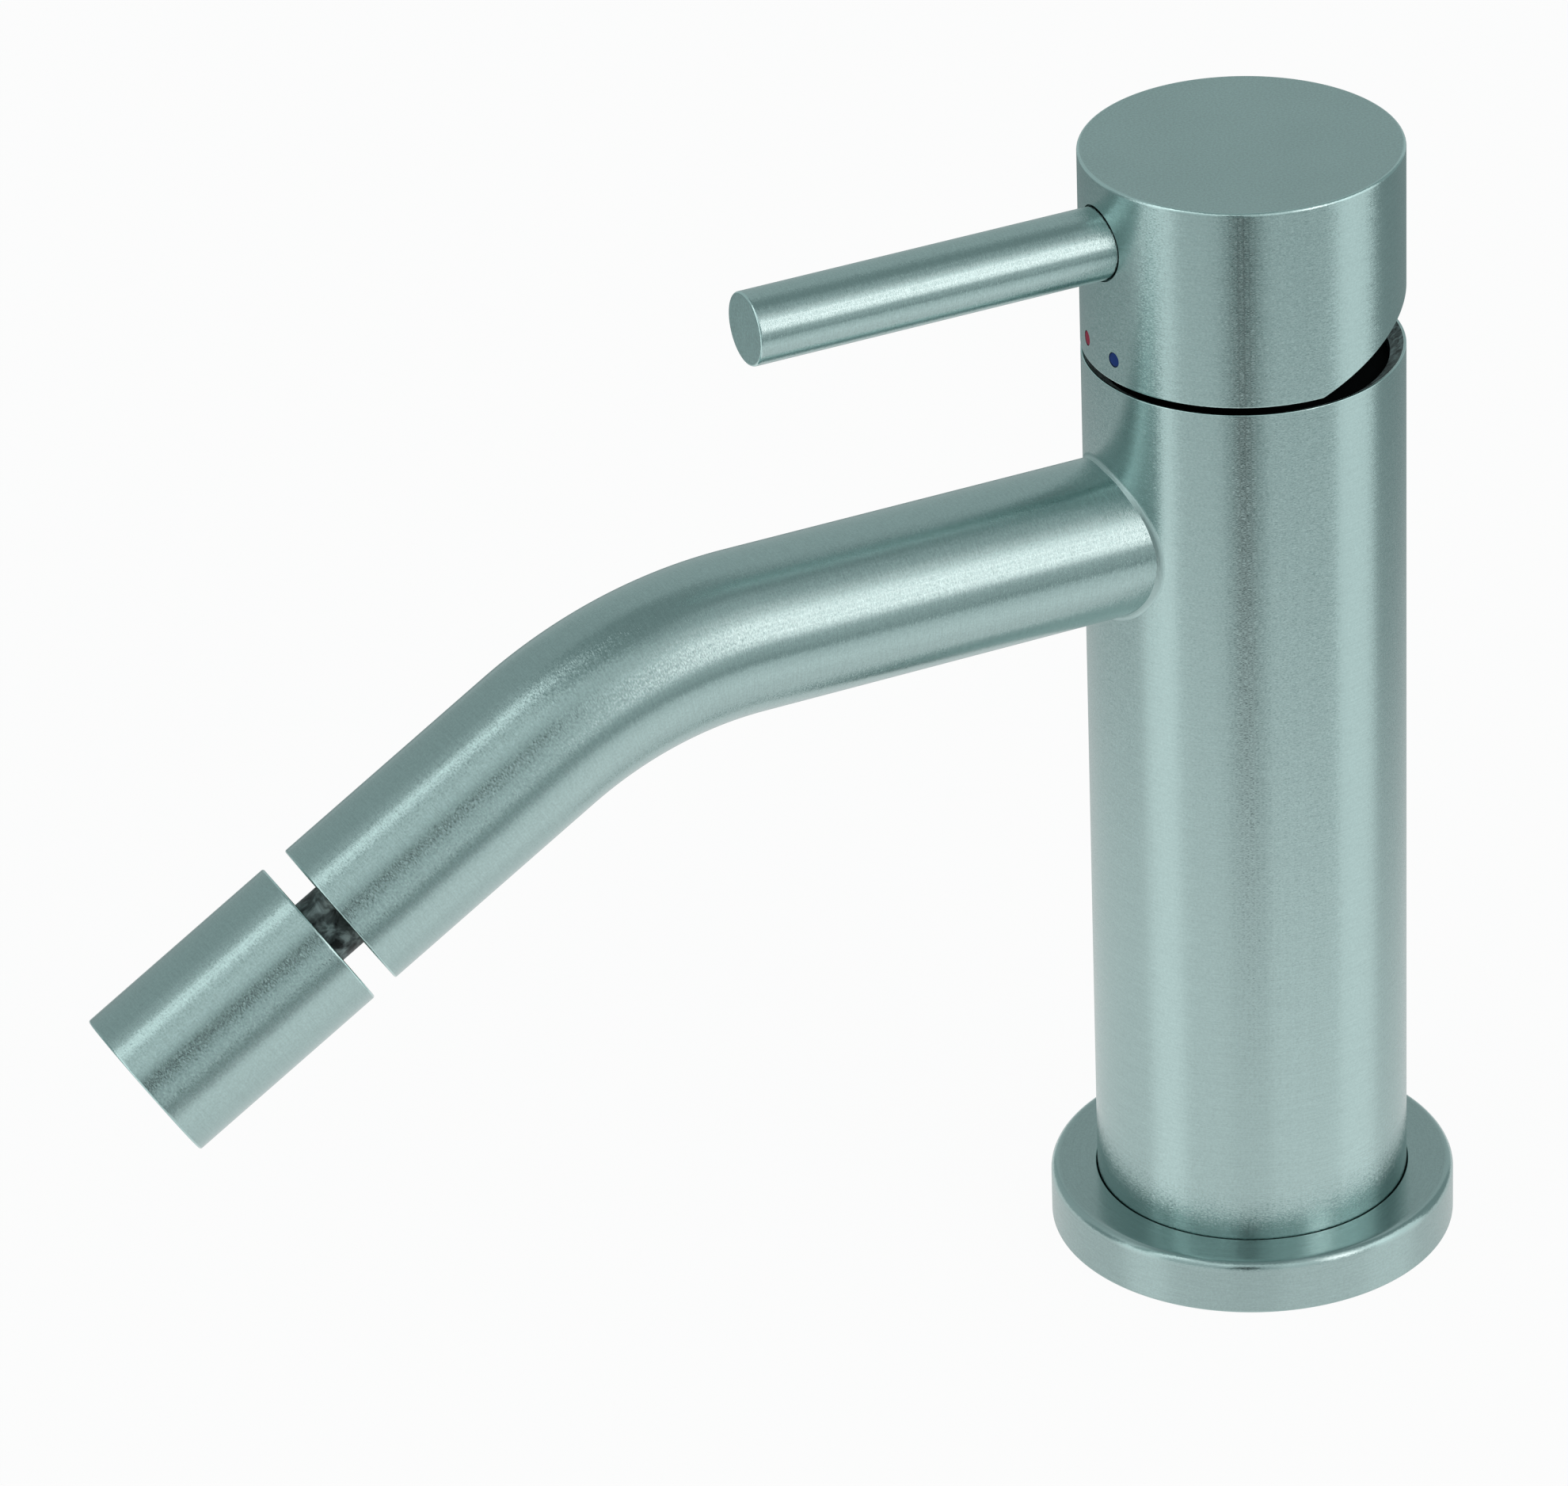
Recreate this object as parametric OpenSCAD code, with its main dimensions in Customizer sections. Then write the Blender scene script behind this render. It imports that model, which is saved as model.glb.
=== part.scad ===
// Single lever bidet mixer in brushed stainless steel, with a swivelling ball nozzle.
// Millimetres. +Z is up, the origin is at the centre of the base underside, and the spout
// and the lever point along -X. Hot is on the +Y side, which is the user's left.

/* [Body column] */
// Outer diameter of the body column and of the handle cap
body_d = 40; // [38:0.5:48]
// Wall of the body column
body_wall = 2; // [1.5:0.1:2.5]
// Height of the column's top edge above the sanitary ware
body_top = 125; // [115:1:160]

/* [Base flange] */
// How far the flange stands out around the column
flange_rim = 6; // [4:0.5:12]
// Height of the flange
flange_h = 7.4; // [6.5:0.1:12]
// Rounding of the flange's top edge
flange_edge = 1.2; // [0.4:0.1:2]
// Play between the flange's bore and the column
flange_play = 0.15; // [0.1:0.05:0.4]
// Thickness of the ledge under the column
ledge_h = 1.3; // [1:0.1:2]
// How far the ledge reaches in under the column's bore
ledge_reach = 1.5; // [0.5:0.1:2]
// Thickness of the rubber gasket, flush with the underside
gasket_h = 1.3; // [1:0.1:2]
// Width of the rubber gasket
gasket_w = 5.5; // [4:0.5:6]
// Lip of the flange inside the gasket
gasket_lip = 1.2; // [0.8:0.1:1.5]
// Cord thickness of the centring ring in the flange
flange_ring_d = 1.4; // [1:0.1:1.8]

/* [Inlets] */
// Core diameter of the M10x1 hose ports
port_core_d = 9; // [8:0.1:10]
// Depth of the hose ports
port_depth = 10; // [8:0.5:14]
// Distance of each port from the plane of the spout
port_y = 8; // [7:0.1:8.6]
// Distance of the ports ahead of the column's axis
port_x = 3; // [2:0.1:4]
// Core diameter of the M8 fixing stud hole
stud_core_d = 6.8; // [5:0.1:7.2]
// Depth of the fixing stud hole
stud_depth = 12; // [8:0.5:14]
// Distance of the stud hole behind the column's axis
stud_x = 10.5; // [9.5:0.1:11]
// Web between a port and its riser socket
port_web = 2; // [1:0.1:4]

/* [Risers] */
// Outer diameter of the riser tubes
riser_d = 8; // [7:0.1:8.6]
// Wall of the riser tubes
riser_wall = 0.8; // [0.5:0.1:1.2]
// Depth of the riser sockets
socket_depth = 4; // [3.5:0.1:6]
// Cord thickness of the riser seal rings
riser_ring_d = 1.4; // [1:0.1:1.6]

/* [Cartridge holder] */
// Thickness of the block below the cartridge
holder_floor = 14.5; // [12:0.5:20]
// Depth of the holder's top below the column's top edge
holder_recess = 2.5; // [1:0.1:4]
// Wall between the cartridge pocket and the outlet chamber
holder_wall = 1.8; // [1.2:0.1:2.4]
// Cord thickness of the holder seal rings
holder_ring_d = 1.6; // [1:0.1:2]
// Diameter of the outlet channel from the cartridge to the chamber
outlet_drill_d = 4; // [3:0.1:4.6]

/* [Cartridge] */
// Outer diameter of the cartridge
cartridge_d = 25; // [24.6:0.1:26]
// Height of the cartridge base
base_h = 5; // [4:0.1:6]
// Diameter of the fixed ceramic disc
fixed_disc_d = 19.2; // [18.6:0.1:19.8]
// Thickness of the fixed ceramic disc
fixed_disc_h = 3; // [2:0.1:4]
// Diameter of the moving ceramic disc
moving_disc_d = 15.6; // [15:0.1:16]
// Thickness of the moving ceramic disc
moving_disc_h = 3; // [2.5:0.1:4]
// Diameter of the mixing pocket in the moving disc
mixing_pocket_d = 7.2; // [6:0.1:8]
// Depth of the mixing pocket
mixing_pocket_h = 1.4; // [1:0.1:2]
// Diameter of the hot and cold ways
inlet_way_d = 3.8; // [3:0.1:4]
// Distance of the hot and cold ways ahead of the axis
inlet_way_x = 2.6; // [2.2:0.1:3]
// Distance of the hot and cold ways from the plane of the spout
inlet_way_y = 4.2; // [4:0.1:4.6]
// Diameter of the mixed water way
outlet_way_d = 4; // [3:0.1:4.4]
// Distance of the mixed water way behind the axis
outlet_way_x = 3.9; // [3.6:0.1:4.4]
// Width of the rubber rings around the ways
way_seal_w = 1; // [0.6:0.1:1.2]
// Height of the rubber rings around the ways
way_seal_h = 1.15; // [0.8:0.05:1.8]
// Wall of the cartridge housing
housing_wall = 1.2; // [0.8:0.1:1.4]
// Thickness of the housing's roof
housing_roof = 2.7; // [2:0.1:3.5]
// Height of the disc carrier
carrier_h = 4.5; // [4:0.1:4.8]
// Floor of the carrier under the stem's tip
carrier_floor = 0.5; // [0.4:0.1:1]
// Diameter of the rotor's neck
rotor_neck_d = 16.8; // [16:0.1:17.4]
// How far the rotor's neck stands above the housing
neck_proud = 1.4; // [0.5:0.1:2]

/* [Stem] */
// Width across the flats of the square stem
stem_w = 7; // [6:0.1:7.4]
// Distance from the pivot down to the middle of the stem's tip
stem_arm = 7.5; // [7:0.1:8.5]
// Diameter of the stem's round tip
tip_d = 4.6; // [4:0.1:5]
// Diameter of the pivot pin
pin_d = 2.5; // [2:0.1:3]
// Length of the pivot pin
pin_len = 15; // [13:0.5:15.5]

/* [Retaining nut] */
// Wall of the retaining nut's threaded skirt
nut_wall = 1.45; // [1.1:0.05:2]
// Height of the nut's top flange
nut_flange_h = 2.5; // [2:0.1:4]
// Length of the nut's skirt below the flange
nut_skirt = 5.3; // [4:0.1:8]
// Diameter of the nut's opening
nut_hole_d = 19; // [18:0.5:20]
// Depth of the nut's top below the column's top edge
nut_recess = 0.7; // [0.5:0.1:2]

/* [Handle cap] */
// Height of the cap
cap_h = 26.1; // [24:0.1:36]
// Gap between the cap and the column
cap_gap = 0.7; // [0.6:0.1:1.5]
// Side wall of the cap
cap_wall = 2.4; // [2:0.1:3]
// Top wall of the cap
cap_top_wall = 2.5; // [1.5:0.1:4]
// Rounding of the cap's top edge
cap_edge = 0.5; // [0.2:0.1:1.5]
// Slope of the cut that lets the cap tip back, degrees
cap_cut = 22; // [20:1:26]
// Diameter of the boss around the stem
boss_d = 17; // [14:0.5:18]
// Height of the boss's underside above the cap's bottom edge
boss_rise = 3.3; // [3:0.1:8]
// Diameter of the bridge that carries the lever
bridge_d = 12; // [10.5:0.5:14]

/* [Lever] */
// Diameter of the lever
lever_d = 9.2; // [7:0.1:10]
// Distance of the lever's tip from the column's axis
lever_reach = 67.1; // [45:0.1:110]
// Height of the lever's axis above the cap's bottom edge
lever_rise = 17.5; // [14:0.1:18]
// Chamfer on the lever's tip
lever_edge = 0.4; // [0.2:0.1:1]
// Depth that the lever sinks into the cap
lever_sink = 1.6; // [1:0.1:2]
// Diameter of the lever's M6 spigot and of the grub screw
spigot_d = 6; // [5:0.1:6.4]
// Gap between the lever's spigot and the grub screw
grub_gap = 0.7; // [0.3:0.1:2]
// Length of the grub screw
grub_len = 5; // [3:0.1:5.2]

/* [Temperature dots] */
// Diameter of the red and blue dots
dot_d = 1.8; // [1:0.1:3]
// Thickness of the dots
dot_h = 0.8; // [0.4:0.1:1.5]
// Angle of each dot from the lever's direction
dot_angle = 10; // [6:1:30]
// Height of the dots above the cap's bottom edge
dot_rise = 3.2; // [2:0.1:8]

/* [Spout] */
// Outer diameter of the spout
spout_d = 20.2; // [18:0.1:22]
// Wall of the spout
spout_wall = 1.5; // [1:0.1:2]
// Depth of the spout's axis below the column's top edge
spout_drop = 21.9; // [20:0.1:26]
// Distance from the column's axis to the start of the bend
spout_run = 69; // [45:0.5:100]
// Radius of the bend at the tube's middle
bend_r = 53; // [30:1:90]
// Angle of the bend
bend_angle = 31.3; // [10:0.1:50]
// Straight length after the bend
spout_end = 31.8; // [20:0.1:60]
// Width of the weld fillet at the column
weld_w = 1.1; // [0.6:0.1:2]

/* [Outlet adapter] */
// Length of the threaded adapter in the spout's end
adapter_len = 9.1; // [8:0.1:14]
// Depth of the adapter below the spout's end
adapter_recess = 0.3; // [0.2:0.1:1.5]
// Cord thickness of the adapter's seal ring
adapter_ring_d = 1.04; // [0.8:0.02:1.2]

/* [Ball joint] */
// Diameter of the stem between the spout and the nozzle
neck_d = 8.8; // [7:0.1:9.2]
// Diameter of the ball
ball_d = 14; // [13.4:0.1:14.6]
// Diameter of the water way through the ball
ball_bore_d = 4.8; // [3:0.1:5.4]
// Distance from the ball's middle to its flat end
ball_flat = 5.5; // [5:0.1:6.4]
// Depth of the ball's middle below the nozzle's top edge
ball_depth = 8; // [7.5:0.1:9]
// Largest swing of the nozzle, degrees
nozzle_swing = 18; // [5:1:18]
// Diameter of the collar that seats the stem in the adapter
collar_d = 10.8; // [10:0.1:11.4]
// Thickness of the collar
collar_h = 1.4; // [1:0.1:2]
// Thickness of the clip that holds the stem
clip_h = 0.9; // [0.6:0.1:1.2]
// Outer diameter of the clip
clip_d = 11.2; // [10.4:0.1:12]

/* [Nozzle] */
// Outer diameter of the nozzle
nozzle_d = 20.4; // [19.8:0.1:24]
// Wall of the nozzle
nozzle_wall = 1.5; // [1.2:0.1:1.7]
// Length of the nozzle
nozzle_len = 27.8; // [26:0.1:40]
// Gap between the spout's end and the nozzle
neck_gap = 3.3; // [3:0.1:8]
// Chamfer on the nozzle's ends
nozzle_edge = 0.35; // [0.2:0.05:0.6]
// Height of the seat ring above the ball's middle
seat_rise = 3.5; // [3:0.1:3.7]
// Height of the rubber seal ring under the ball
ball_seal_h = 4; // [3:0.1:4.5]
// Thickness of the ring that holds the ball's seal
retainer_h = 2.5; // [1.5:0.1:4]
// Diameter of the holding ring's opening
retainer_hole_d = 11.8; // [11.4:0.1:12.4]

/* [Aerator] */
// Thickness of the aerator gasket
aerator_gasket_h = 1.2; // [0.8:0.1:2]
// Wall of the aerator housing
aerator_wall = 1.25; // [0.8:0.05:1.6]
// Depth of the aerator below the nozzle's tip
aerator_recess = 0.8; // [0.3:0.1:2]
// Thickness of the inlet screen
screen_h = 0.4; // [0.3:0.1:0.6]
// Thickness of the flow regulator
regulator_h = 3; // [2:0.1:3.4]
// Thickness of the outlet grid
grid_h = 2; // [1:0.1:2.4]
// Spacing of the cells in the outlet grid
grid_pitch = 2.1; // [1.8:0.1:3]
// Web between two cells of the outlet grid
grid_web = 0.4; // [0.3:0.1:0.6]

/* [Hidden] */
$fn = 96;

// Clearances
over = 1;           // overrun of a cutting shape past the face it opens
seat_gap = 0.05;    // radial gap of a piece seated in a bore
run_gap = 0.06;     // radial gap of a turning or sliding fit
lift_gap = 0.1;     // gap above a shoulder that turns
guide_gap = 0.15;   // side gap of the stem's tip and of the carrier's guide
swing_gap = 0.45;   // gap around a piece that swings
ring_gap = 0.05;    // gap around a seal ring in its groove
weld_gap = 0.03;    // gap between the weld's facets and the round tubes

// Column and flange
body_r = body_d / 2;
body_in_r = body_r - body_wall;
insert_r = body_in_r - seat_gap;
seat_z = gasket_h + ledge_h;
flange_r = body_r + flange_rim;
flange_in_r = body_r + flange_play;
ledge_r = body_in_r - ledge_reach;
gasket_in_r = ledge_r + gasket_lip;
gasket_r = gasket_in_r + gasket_w;
flange_ring_lift = 2.4;
flange_ring_z = seat_z + flange_ring_lift;

// Inlet base
inlet_h = port_depth + port_web + socket_depth;
inlet_top = seat_z + inlet_h;
riser_r = riser_d / 2;
riser_bore_r = riser_r - riser_wall;
riser_z0 = inlet_top - socket_depth;
ring_from_mouth = 2;

// Cartridge, from the column's top edge down
nut_top = body_top - nut_recess;
housing_top = nut_top - nut_flange_h;
shoulder_z = housing_top - housing_roof - lift_gap;
pivot_rise = 1.5;
pivot_z = shoulder_z + pivot_rise;
rotor_top = housing_top + neck_proud;
tip_r = tip_d / 2;
tip_z = pivot_z - stem_arm;
tip_clear = 0.2;
moving_top = tip_z - tip_r - tip_clear - carrier_floor;
moving_z = moving_top - moving_disc_h;
fixed_z = moving_z - fixed_disc_h;
cart_z = fixed_z - base_h;
cartridge_r = cartridge_d / 2;
pocket_r = cartridge_r + seat_gap;
housing_in_r = cartridge_r - housing_wall;
rotor_r = housing_in_r - run_gap;
moving_r = moving_disc_d / 2;
fixed_r = fixed_disc_d / 2;
lift_max = 20;
slide_travel = stem_arm * sin(lift_max);
disc_x = slide_travel / 2;
carrier_top = moving_top + carrier_h;

// Holder
holder_top = body_top - holder_recess;
holder_z0 = cart_z - holder_floor;
riser_z1 = holder_z0 + socket_depth;
spout_r = spout_d / 2;
spout_in_r = spout_r - spout_wall;
spout_z = body_top - spout_drop;
chamber_margin = 0.5;
chamber_z0 = spout_z - spout_in_r - chamber_margin;
chamber_z1 = spout_z + spout_in_r + chamber_margin;
chamber_r = pocket_r + holder_wall;
outlet_drill_drop = 3;
outlet_drill_z = cart_z - outlet_drill_drop;
nut_r = pocket_r + nut_wall;
nut_z0 = housing_top - nut_skirt;
holder_ring_r = body_in_r - ring_gap - holder_ring_d / 2;
holder_groove_r = holder_ring_r - holder_ring_d / 2 - ring_gap;
holder_ring_step = 2.2;
holder_ring_zs = [chamber_z0 - holder_ring_step, chamber_z1 + holder_ring_step];

// Cap and lever
cap_z = body_top + cap_gap;
cap_top = cap_z + cap_h;
cap_in_r = body_r - cap_wall;
lever_z = cap_z + lever_rise;
lever_r = lever_d / 2;
spigot_r = spigot_d / 2;
stem_head = 0.3;
stem_top = lever_z + spigot_r + stem_head;
grub_x0 = stem_w / 2 + 2 * seat_gap;
spigot_x0 = grub_x0 + grub_len + grub_gap;

// Spout's end, where the nozzle's own frame starts
bend_x = -spout_run;
bend_z = spout_z - bend_r;
arc_end = [bend_x - bend_r * sin(bend_angle), 0, bend_z + bend_r * cos(bend_angle)];
end_dir = [-cos(bend_angle), 0, -sin(bend_angle)];
spout_tip = arc_end + spout_end * end_dir;

// Ball joint, along the spout's end direction from the spout's end
neck_r = neck_d / 2;
ball_r = ball_d / 2;
nozzle_z = neck_gap;
ball_z = nozzle_z + ball_depth;
nozzle_r = nozzle_d / 2;
nozzle_bore_r = nozzle_r - nozzle_wall;
nozzle_tip = nozzle_z + nozzle_len;
ring_r = nozzle_bore_r - seat_gap;
adapter_z1 = -adapter_recess;
adapter_z0 = adapter_z1 - adapter_len;
collar_z1 = adapter_z1 - seat_gap;
collar_z0 = collar_z1 - collar_h;
clip_z1 = adapter_z0 - lift_gap;
clip_z0 = clip_z1 - clip_h;
clip_groove = 0.8;
stem_tail = 1;
stem_z0 = clip_z0 - stem_tail;
seat_z0 = ball_z - seat_rise;
seat_below = 0.5;
seal_z0 = ball_z + seat_below;
seal_z1 = seal_z0 + ball_seal_h;
retainer_z1 = seal_z1 + retainer_h;
gasket_z1 = retainer_z1 + aerator_gasket_h;
aerator_z1 = nozzle_tip - aerator_recess;
aerator_r = nozzle_bore_r - 2 * seat_gap;
aerator_in_r = aerator_r - aerator_wall;
insert_in_r = aerator_in_r - seat_gap;
aerator_lip = 0.7;
screen_z0 = gasket_z1 + seat_gap;
regulator_z0 = screen_z0 + screen_h;
regulator_z1 = regulator_z0 + regulator_h;
step_h = 1.2;
grid_z1 = aerator_z1 - aerator_lip;
grid_z0 = grid_z1 - grid_h;

steel = [0.66, 0.71, 0.71];
brass = [0.78, 0.63, 0.36];
copper = [0.78, 0.46, 0.32];
ceramic_white = [0.93, 0.92, 0.88];
plastic_grey = [0.55, 0.57, 0.60];
plastic_white = [0.88, 0.88, 0.86];
rubber = [0.10, 0.10, 0.11];
dark_steel = [0.30, 0.33, 0.34];

// Helper shapes

// A straight tube standing on z = 0
module tube(r_out, r_in, h) {
    difference() {
        cylinder(r = r_out, h = h);
        translate([0, 0, -over]) cylinder(r = r_in, h = h + 2 * over);
    }
}

// A ring of round section around the Z axis
module round_ring(r_mid, cord_d) {
    rotate_extrude() translate([r_mid, 0]) circle(d = cord_d, $fn = 32);
}

// A round bar standing on z = 0 whose top edge has a radius
module rounded_bar(r, h, edge) {
    rotate_extrude() {
        square([r, h - edge]);
        square([r - edge, h]);
        translate([r - edge, h - edge]) circle(r = edge, $fn = 48);
    }
}

// A round bar standing on z = 0 whose top edge is chamfered
module chamfered_bar(r, h, edge) {
    cylinder(r = r, h = h - edge);
    translate([0, 0, h - edge]) cylinder(r1 = r, r2 = r - edge, h = edge);
}

// Places its children at a way of the cartridge, hot, cold and mixed
module at_ways() {
    for (side = [1, -1]) translate([-inlet_way_x, side * inlet_way_y, 0]) children(0);
    translate([outlet_way_x, 0, 0]) children(1);
}

// Places its children at the hot and the cold supply
module at_supplies() {
    for (side = [1, -1]) translate([-port_x, side * port_y, 0]) children();
}

// Turns its children so that their +Z points along -X
module toward_spout() {
    rotate([0, -90, 0]) children();
}

// Places its children at the spout's end, with +Z along the water's way
module at_spout_tip() {
    translate(spout_tip) rotate([0, -(90 + bend_angle), 0]) children();
}

// Cross-section of the spout's wall, thickened by a skin on both faces
module spout_section(skin = 0) {
    difference() {
        circle(r = spout_r + skin);
        circle(r = spout_in_r - skin);
    }
}

// Places its children in the bend's own plane, with the bend's middle at the origin
module at_bend() {
    translate([bend_x, 0, bend_z]) rotate([0, -90, 0]) rotate([90, 0, 0]) children();
}

// Radius that the swinging neck sweeps at a height above the ball's middle
function swept_r(height) = height * tan(nozzle_swing) + neck_r / cos(nozzle_swing);

// Column and base

module body_tube() {
    color(steel) difference() {
        translate([0, 0, seat_z]) tube(body_r, body_in_r, body_top - seat_z);
        translate([0, 0, spout_z]) toward_spout() cylinder(r = spout_in_r, h = body_r + over);
    }
}

module base_flange() {
    groove_r = flange_in_r + flange_ring_d;
    color(steel) difference() {
        rounded_bar(flange_r, flange_h, flange_edge);
        translate([0, 0, -over]) cylinder(r = ledge_r, h = flange_h + 2 * over);
        translate([0, 0, -over]) tube(gasket_r + seat_gap, gasket_in_r - seat_gap, gasket_h + over);
        translate([0, 0, seat_z]) cylinder(r = flange_in_r, h = flange_h);
        translate([0, 0, flange_ring_z - flange_ring_d / 2 - ring_gap])
            cylinder(r = groove_r, h = flange_ring_d + 2 * ring_gap);
    }
}

module flange_ring() {
    color(rubber) translate([0, 0, flange_ring_z])
        round_ring(body_r + ring_gap + flange_ring_d / 2, flange_ring_d);
}

module base_gasket() {
    color(rubber) tube(gasket_r, gasket_in_r, gasket_h);
}

module inlet_base() {
    color(brass) difference() {
        translate([0, 0, seat_z]) cylinder(r = insert_r, h = inlet_h);
        at_supplies() {
            translate([0, 0, seat_z - over]) cylinder(d = port_core_d, h = port_depth + over);
            translate([0, 0, seat_z]) cylinder(r = riser_bore_r, h = inlet_h);
            translate([0, 0, inlet_top]) mirror([0, 0, 1]) riser_socket();
        }
        translate([stud_x, 0, seat_z - over]) cylinder(d = stud_core_d, h = stud_depth + over);
    }
}

// Cut for a riser's end, with its mouth at z = 0 and a groove for the seal ring
module riser_socket() {
    translate([0, 0, -over]) cylinder(r = riser_r + seat_gap, h = socket_depth + over);
    translate([0, 0, ring_from_mouth - riser_ring_d / 2 - ring_gap])
        cylinder(r = riser_r + riser_ring_d + 2 * ring_gap, h = riser_ring_d + 2 * ring_gap);
}

module riser(side) {
    translate([-port_x, side * port_y, riser_z0]) tube(riser_r, riser_bore_r, riser_z1 - riser_z0);
}

module hot_riser() {
    color(copper) riser(1);
}

module cold_riser() {
    color(copper) riser(-1);
}

module riser_rings() {
    color(rubber) at_supplies() for (z = [inlet_top - ring_from_mouth, holder_z0 + ring_from_mouth])
        translate([0, 0, z]) round_ring(riser_r + ring_gap + riser_ring_d / 2, riser_ring_d);
}

// Cartridge holder with the annular outlet chamber that feeds the spout

peg_r = 1.4;
peg_h = 2.4;
peg_x = 6.5;
peg_y = 7;

module cartridge_holder() {
    color(brass) difference() {
        translate([0, 0, holder_z0]) cylinder(r = insert_r, h = holder_top - holder_z0);
        translate([0, 0, cart_z]) cylinder(r = pocket_r, h = holder_top);
        translate([0, 0, nut_z0 - lift_gap]) cylinder(r = nut_r + seat_gap, h = holder_top);
        translate([0, 0, chamber_z0]) tube(body_r, chamber_r, chamber_z1 - chamber_z0);
        for (z = holder_ring_zs) translate([0, 0, z - holder_ring_d / 2 - ring_gap])
            tube(body_r, holder_groove_r, holder_ring_d + 2 * ring_gap);
        at_supplies() translate([0, 0, holder_z0]) riser_socket();
        for (side = [1, -1]) translate([-inlet_way_x, side * inlet_way_y, riser_z1 - over])
            cylinder(d = inlet_way_d, h = holder_floor);
        translate([outlet_way_x, 0, outlet_drill_z]) cylinder(d = outlet_way_d, h = holder_floor);
        translate([outlet_way_x, 0, outlet_drill_z]) rotate([0, 90, 0])
            cylinder(d = outlet_drill_d, h = body_r);
        for (side = [1, -1]) translate([peg_x, side * peg_y, cart_z - peg_h - lift_gap])
            cylinder(r = peg_r + seat_gap, h = peg_h + over);
    }
}

module holder_rings() {
    color(rubber) for (z = holder_ring_zs) translate([0, 0, z]) round_ring(holder_ring_r, holder_ring_d);
}

// Ceramic cartridge

rim_h = 2.2;
key_r = 1.2;

module cartridge_base() {
    color(plastic_white) difference() {
        union() {
            translate([0, 0, cart_z]) cylinder(r = cartridge_r, h = base_h);
            translate([0, 0, fixed_z]) difference() {
                cylinder(r = housing_in_r - seat_gap, h = rim_h);
                translate([0, 0, -over]) cylinder(r = fixed_r + seat_gap, h = rim_h + 2 * over);
            }
            for (side = [1, -1]) intersection() {
                translate([0, side * fixed_r, fixed_z]) cylinder(r = key_r, h = rim_h);
                cylinder(r = housing_in_r - seat_gap, h = body_top);
            }
            for (side = [1, -1]) translate([peg_x, side * peg_y, cart_z - peg_h])
                cylinder(r = peg_r, h = peg_h + over);
        }
        translate([0, 0, cart_z - over]) at_ways() {
            cylinder(d = inlet_way_d, h = base_h + 2 * over);
            cylinder(d = outlet_way_d, h = base_h + 2 * over);
        }
        for (z = [cart_z - over, fixed_z - way_seal_h]) translate([0, 0, z]) at_ways() {
            cylinder(r = inlet_way_d / 2 + way_seal_w + seat_gap, h = way_seal_h + over);
            cylinder(r = outlet_way_d / 2 + way_seal_w + seat_gap, h = way_seal_h + over);
        }
    }
}

module way_seals(z) {
    color(rubber) translate([0, 0, z]) at_ways() {
        tube(inlet_way_d / 2 + way_seal_w, inlet_way_d / 2, way_seal_h);
        tube(outlet_way_d / 2 + way_seal_w, outlet_way_d / 2, way_seal_h);
    }
}

module port_seals() {
    way_seals(cart_z);
}

module disc_seals() {
    way_seals(fixed_z - way_seal_h);
}

module fixed_disc() {
    color(ceramic_white) difference() {
        translate([0, 0, fixed_z]) cylinder(r = fixed_r, h = fixed_disc_h);
        translate([0, 0, fixed_z - over]) at_ways() {
            cylinder(d = inlet_way_d, h = fixed_disc_h + 2 * over);
            cylinder(d = outlet_way_d, h = fixed_disc_h + 2 * over);
        }
        for (side = [1, -1]) translate([0, side * fixed_r, fixed_z - over])
            cylinder(r = key_r + guide_gap, h = fixed_disc_h + 2 * over);
    }
}

module moving_disc() {
    pocket_shift = 0.5;
    color(ceramic_white) difference() {
        translate([disc_x, 0, moving_z]) cylinder(r = moving_r, h = moving_disc_h);
        translate([disc_x + pocket_shift, 0, moving_z - over])
            cylinder(d = mixing_pocket_d, h = mixing_pocket_h + over);
    }
}

module disc_carrier() {
    pocket = tip_d + 2 * guide_gap;
    block_x = 11;
    block_y = 10;
    plate_h = 1.6;
    color(plastic_grey) difference() {
        translate([disc_x, 0, moving_top]) {
            cylinder(r = moving_r, h = plate_h);
            translate([-block_x / 2, -block_y / 2, 0]) cube([block_x, block_y, carrier_h]);
        }
        translate([-pocket / 2, -pocket / 2, moving_top + carrier_floor]) cube([pocket, pocket, carrier_h]);
    }
}

module mixer_rotor() {
    rotor_z = moving_z + lift_gap;
    guide_h = carrier_top + swing_gap - moving_z;
    guide_y = moving_disc_d + 2 * guide_gap;
    slot_y = stem_w + 2 * guide_gap;
    slot_x = stem_w / cos(lift_max) + 2 * (rotor_top - pivot_z) * sin(lift_max) + 2 * guide_gap;
    tip_slot = 2 * (slide_travel + tip_r + swing_gap);
    color(plastic_grey) difference() {
        union() {
            translate([0, 0, rotor_z]) cylinder(r = rotor_r, h = shoulder_z - rotor_z);
            translate([0, 0, rotor_z]) cylinder(d = rotor_neck_d, h = rotor_top - rotor_z);
        }
        translate([-body_r, -guide_y / 2, moving_z]) cube([body_d, guide_y, guide_h]);
        translate([-tip_slot / 2, -slot_y / 2, moving_z])
            cube([tip_slot, slot_y, pivot_z - stem_w / 2 - moving_z]);
        translate([-slot_x / 2, -slot_y / 2, pivot_z - stem_w]) cube([slot_x, slot_y, rotor_top]);
        translate([0, 0, pivot_z]) rotate([90, 0, 0])
            cylinder(r = pin_d / 2 + seat_gap, h = pin_len + 2 * seat_gap, center = true);
    }
}

module pivot_pin() {
    color(steel) translate([0, 0, pivot_z]) rotate([90, 0, 0])
        cylinder(d = pin_d, h = pin_len, center = true);
}

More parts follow.
